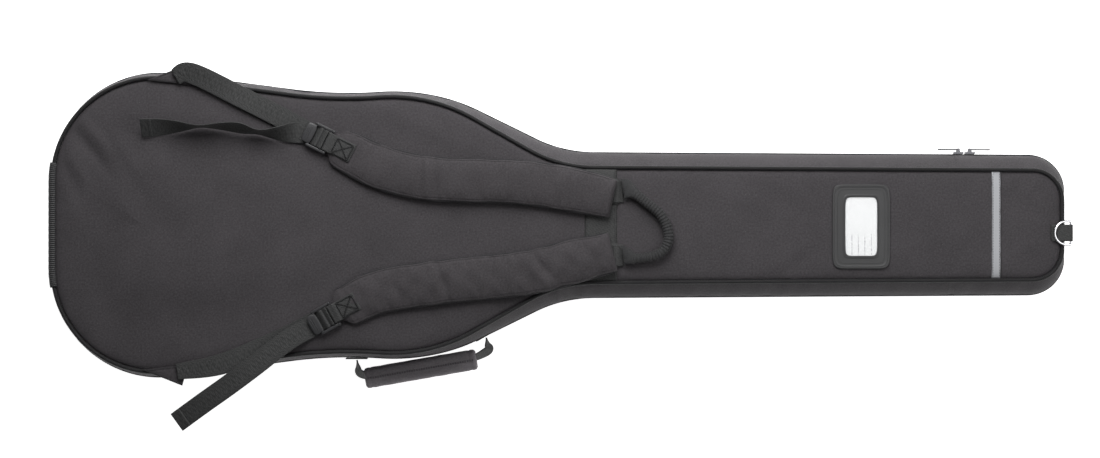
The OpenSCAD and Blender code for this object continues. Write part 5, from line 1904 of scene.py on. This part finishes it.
@dataclass
class FlatPocket:
    """Flat pocket on the front panel: padded face, piped rim, and a zip along its +Y edge."""

    name: str
    power: float
    fullness: float = 0.4

    def build(self) -> None:
        """Rounded face crowned a little, with the zip band and piping as CAD pieces."""
        low, high = (np.array(c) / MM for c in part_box(self.name + "_panel"))
        mid, half = (low + high) / 2, (high - low) / 2
        a = np.linspace(0, 2 * math.pi, 181)[:-1]
        power = 2 / self.power
        c, s = np.cos(a), np.sin(a)
        ring = np.stack([np.sign(c) * np.abs(c) ** power, np.sign(s) * np.abs(s) ** power], -1)
        t = np.array([1.0, 0.997, 0.99, 0.975, 0.95, 0.9, 0.8, 0.65, 0.5, 0.3, 0.12, 0.02])
        level_z = np.array([1.0, 0.55, 0.3, 0.18, 0.1, 0.05, 0.02, 0.0, 0.0, 0.0, 0.0, 0.0])
        p = np.zeros((len(a), len(t), 3))
        p[..., 0] = mid[0] + ring[:, :1] * half[0] * t
        p[..., 1] = mid[1] + ring[:, 1:] * half[1] * t
        dimple = 0.12 * blotch(p[..., 0], p[..., 1], 60, 12) * ease((1 - t) * 8)
        p[..., 2] = low[2] + 0.25 + level_z * (half[2] * 2 - 0.6) + np.abs(dimple)
        Piece(self.name + "_panel_cloth").grid(p, wrap_u=True, flip=True, uv=p[..., :2] * MM).done(
            CLOTH, "front_half", (self.name + "_panel",), thick=1.0, closed=False, fill=self.fullness)
        seam = Piece(self.name + "_stitching")
        for inset in (5.0, 7.5):
            x = mid[0] + ring[:, 0] * (half[0] - inset)
            y = mid[1] + ring[:, 1] * (half[1] - inset)
            seam.thread(np.stack([x, y, np.full(len(a), low[2] + 0.35)], -1), 3.4, 0.3)
        seam.done(THREAD, "front_half")


def dress_hard_parts() -> None:
    """Materials for the CAD nodes that keep their own shape."""
    band = Woven("pocket_binding", "cloth", CLOTH.colour, 0.74, space=Space.OBJECT)
    tape = Woven("pocket_zip_tape", "zip_tape", ZIP_TAPE.colour, 0.75, pitch=0.9, shift=0.5,
                 space=Space.OBJECT)
    rest = Woven("cradle_cloth", "lining", LINING.colour, 0.85, pitch=0.5, sheen=0.35, space=Space.OBJECT)
    strap = Woven("neck_strap_webbing", "webbing", WEBBING.colour, 0.66, pitch=1.25, space=Space.OBJECT)
    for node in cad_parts:
        if node.endswith("_slider") or node.startswith("main_slider"):
            dress_node(node, GUNMETAL)
        elif node.startswith("main_pull") or node.endswith("_pull"):
            dress_node(node, ENAMEL)
        elif node.startswith(("body_pocket", "neck_pocket")) and not node.endswith("_panel"):
            dress_node(node, tape if "zip" in node else band)
        elif node == "neck_cradle":
            dress_node(node, rest)
        elif node == "neck_strap":
            dress_node(node, strap)


@dataclass
class Studio:
    """White table, soft light from above, and the camera."""

    target: tuple[float, float] = (471.2, -4.8)
    width: float = 1314.5
    distance: float = 3.2
    floor_half: float = 12.0
    sensor: float = 36
    ambient: float = 0.19

    def floor(self) -> None:
        """Plain white surface under the bag."""
        mesh = bpy.data.meshes.new("floor")
        r = self.floor_half
        mesh.from_pydata([(-r, -r, 0), (r, -r, 0), (r, r, 0), (-r, r, 0)], [], [(0, 1, 2, 3)])
        floor = bpy.data.objects.new("floor", mesh)
        bpy.context.scene.collection.objects.link(floor)
        made = bpy.data.materials.new("white_table")
        made.use_nodes = True
        shader = made.node_tree.nodes["Principled BSDF"]
        shader.inputs["Base Color"].default_value = (0.93, 0.93, 0.93, 1)
        shader.inputs["Roughness"].default_value = 0.9
        shader.inputs["Specular IOR Level"].default_value = 0.0
        shader.inputs["Emission Color"].default_value = (1, 1, 1, 1)
        shader.inputs["Emission Strength"].default_value = 0.9
        mesh.materials.append(made)

    def light(self, name: str, place: Point, power: float, size: float) -> None:
        """A square area light turned to the middle of the bag.

        Args:
            name: the lamp's name.
            place: where it hangs, in metres.
            power: watts.
            size: its side in metres.
        """
        data = bpy.data.lights.new(name, "AREA")
        data.energy, data.size = power, size
        lamp = bpy.data.objects.new(name, data)
        lamp.location = place
        aim = Vector((self.target[0] * MM, 0, 0.05)) - Vector(place)
        lamp.rotation_euler = aim.to_track_quat("-Z", "Y").to_euler()
        bpy.context.scene.collection.objects.link(lamp)

    def camera(self) -> None:
        """Straight down, with the head of the bag to the right."""
        data = bpy.data.cameras.new("camera")
        level_z = 0.096
        data.sensor_width = self.sensor
        data.lens = self.sensor * self.distance / (self.width * MM)
        data.clip_end = 50
        eye = bpy.data.objects.new("camera", data)
        eye.location = (self.target[0] * MM, self.target[1] * MM, level_z + self.distance)
        eye.rotation_euler = (0, 0, 0)
        bpy.context.scene.collection.objects.link(eye)
        bpy.context.scene.camera = eye

    def build(self) -> None:
        """Sets floor, world, lights and camera."""
        self.floor()
        world = bpy.data.worlds.new("studio")
        world.use_nodes = True
        back = world.node_tree.nodes["Background"]
        back.inputs["Color"].default_value = (1, 1, 1, 1)
        back.inputs["Strength"].default_value = self.ambient
        bpy.context.scene.world = world
        self.light("key", (0.34, 0.9, 0.9), 21, 0.9)
        self.light("fill", (1.25, 0.1, 0.9), 4.5, 0.8)
        bpy.context.scene.view_settings.view_transform = "Standard"
        self.camera()


def main() -> None:
    """Builds the looks of the bag."""
    logging.basicConfig(level=logging.INFO)
    Studio().build()
    bag = Bag()
    bag.build()
    CardHolder(bag).build()
    HaulLoop(bag).build()
    Ring().build()
    for strap in both_straps(bag):
        strap.build()
    CarryHandle().build()
    FlatPocket("body_pocket", 7.0).build()
    FlatPocket("neck_pocket", 10.0).build()
    dress_hard_parts()


if __name__ == "__main__":
    main()
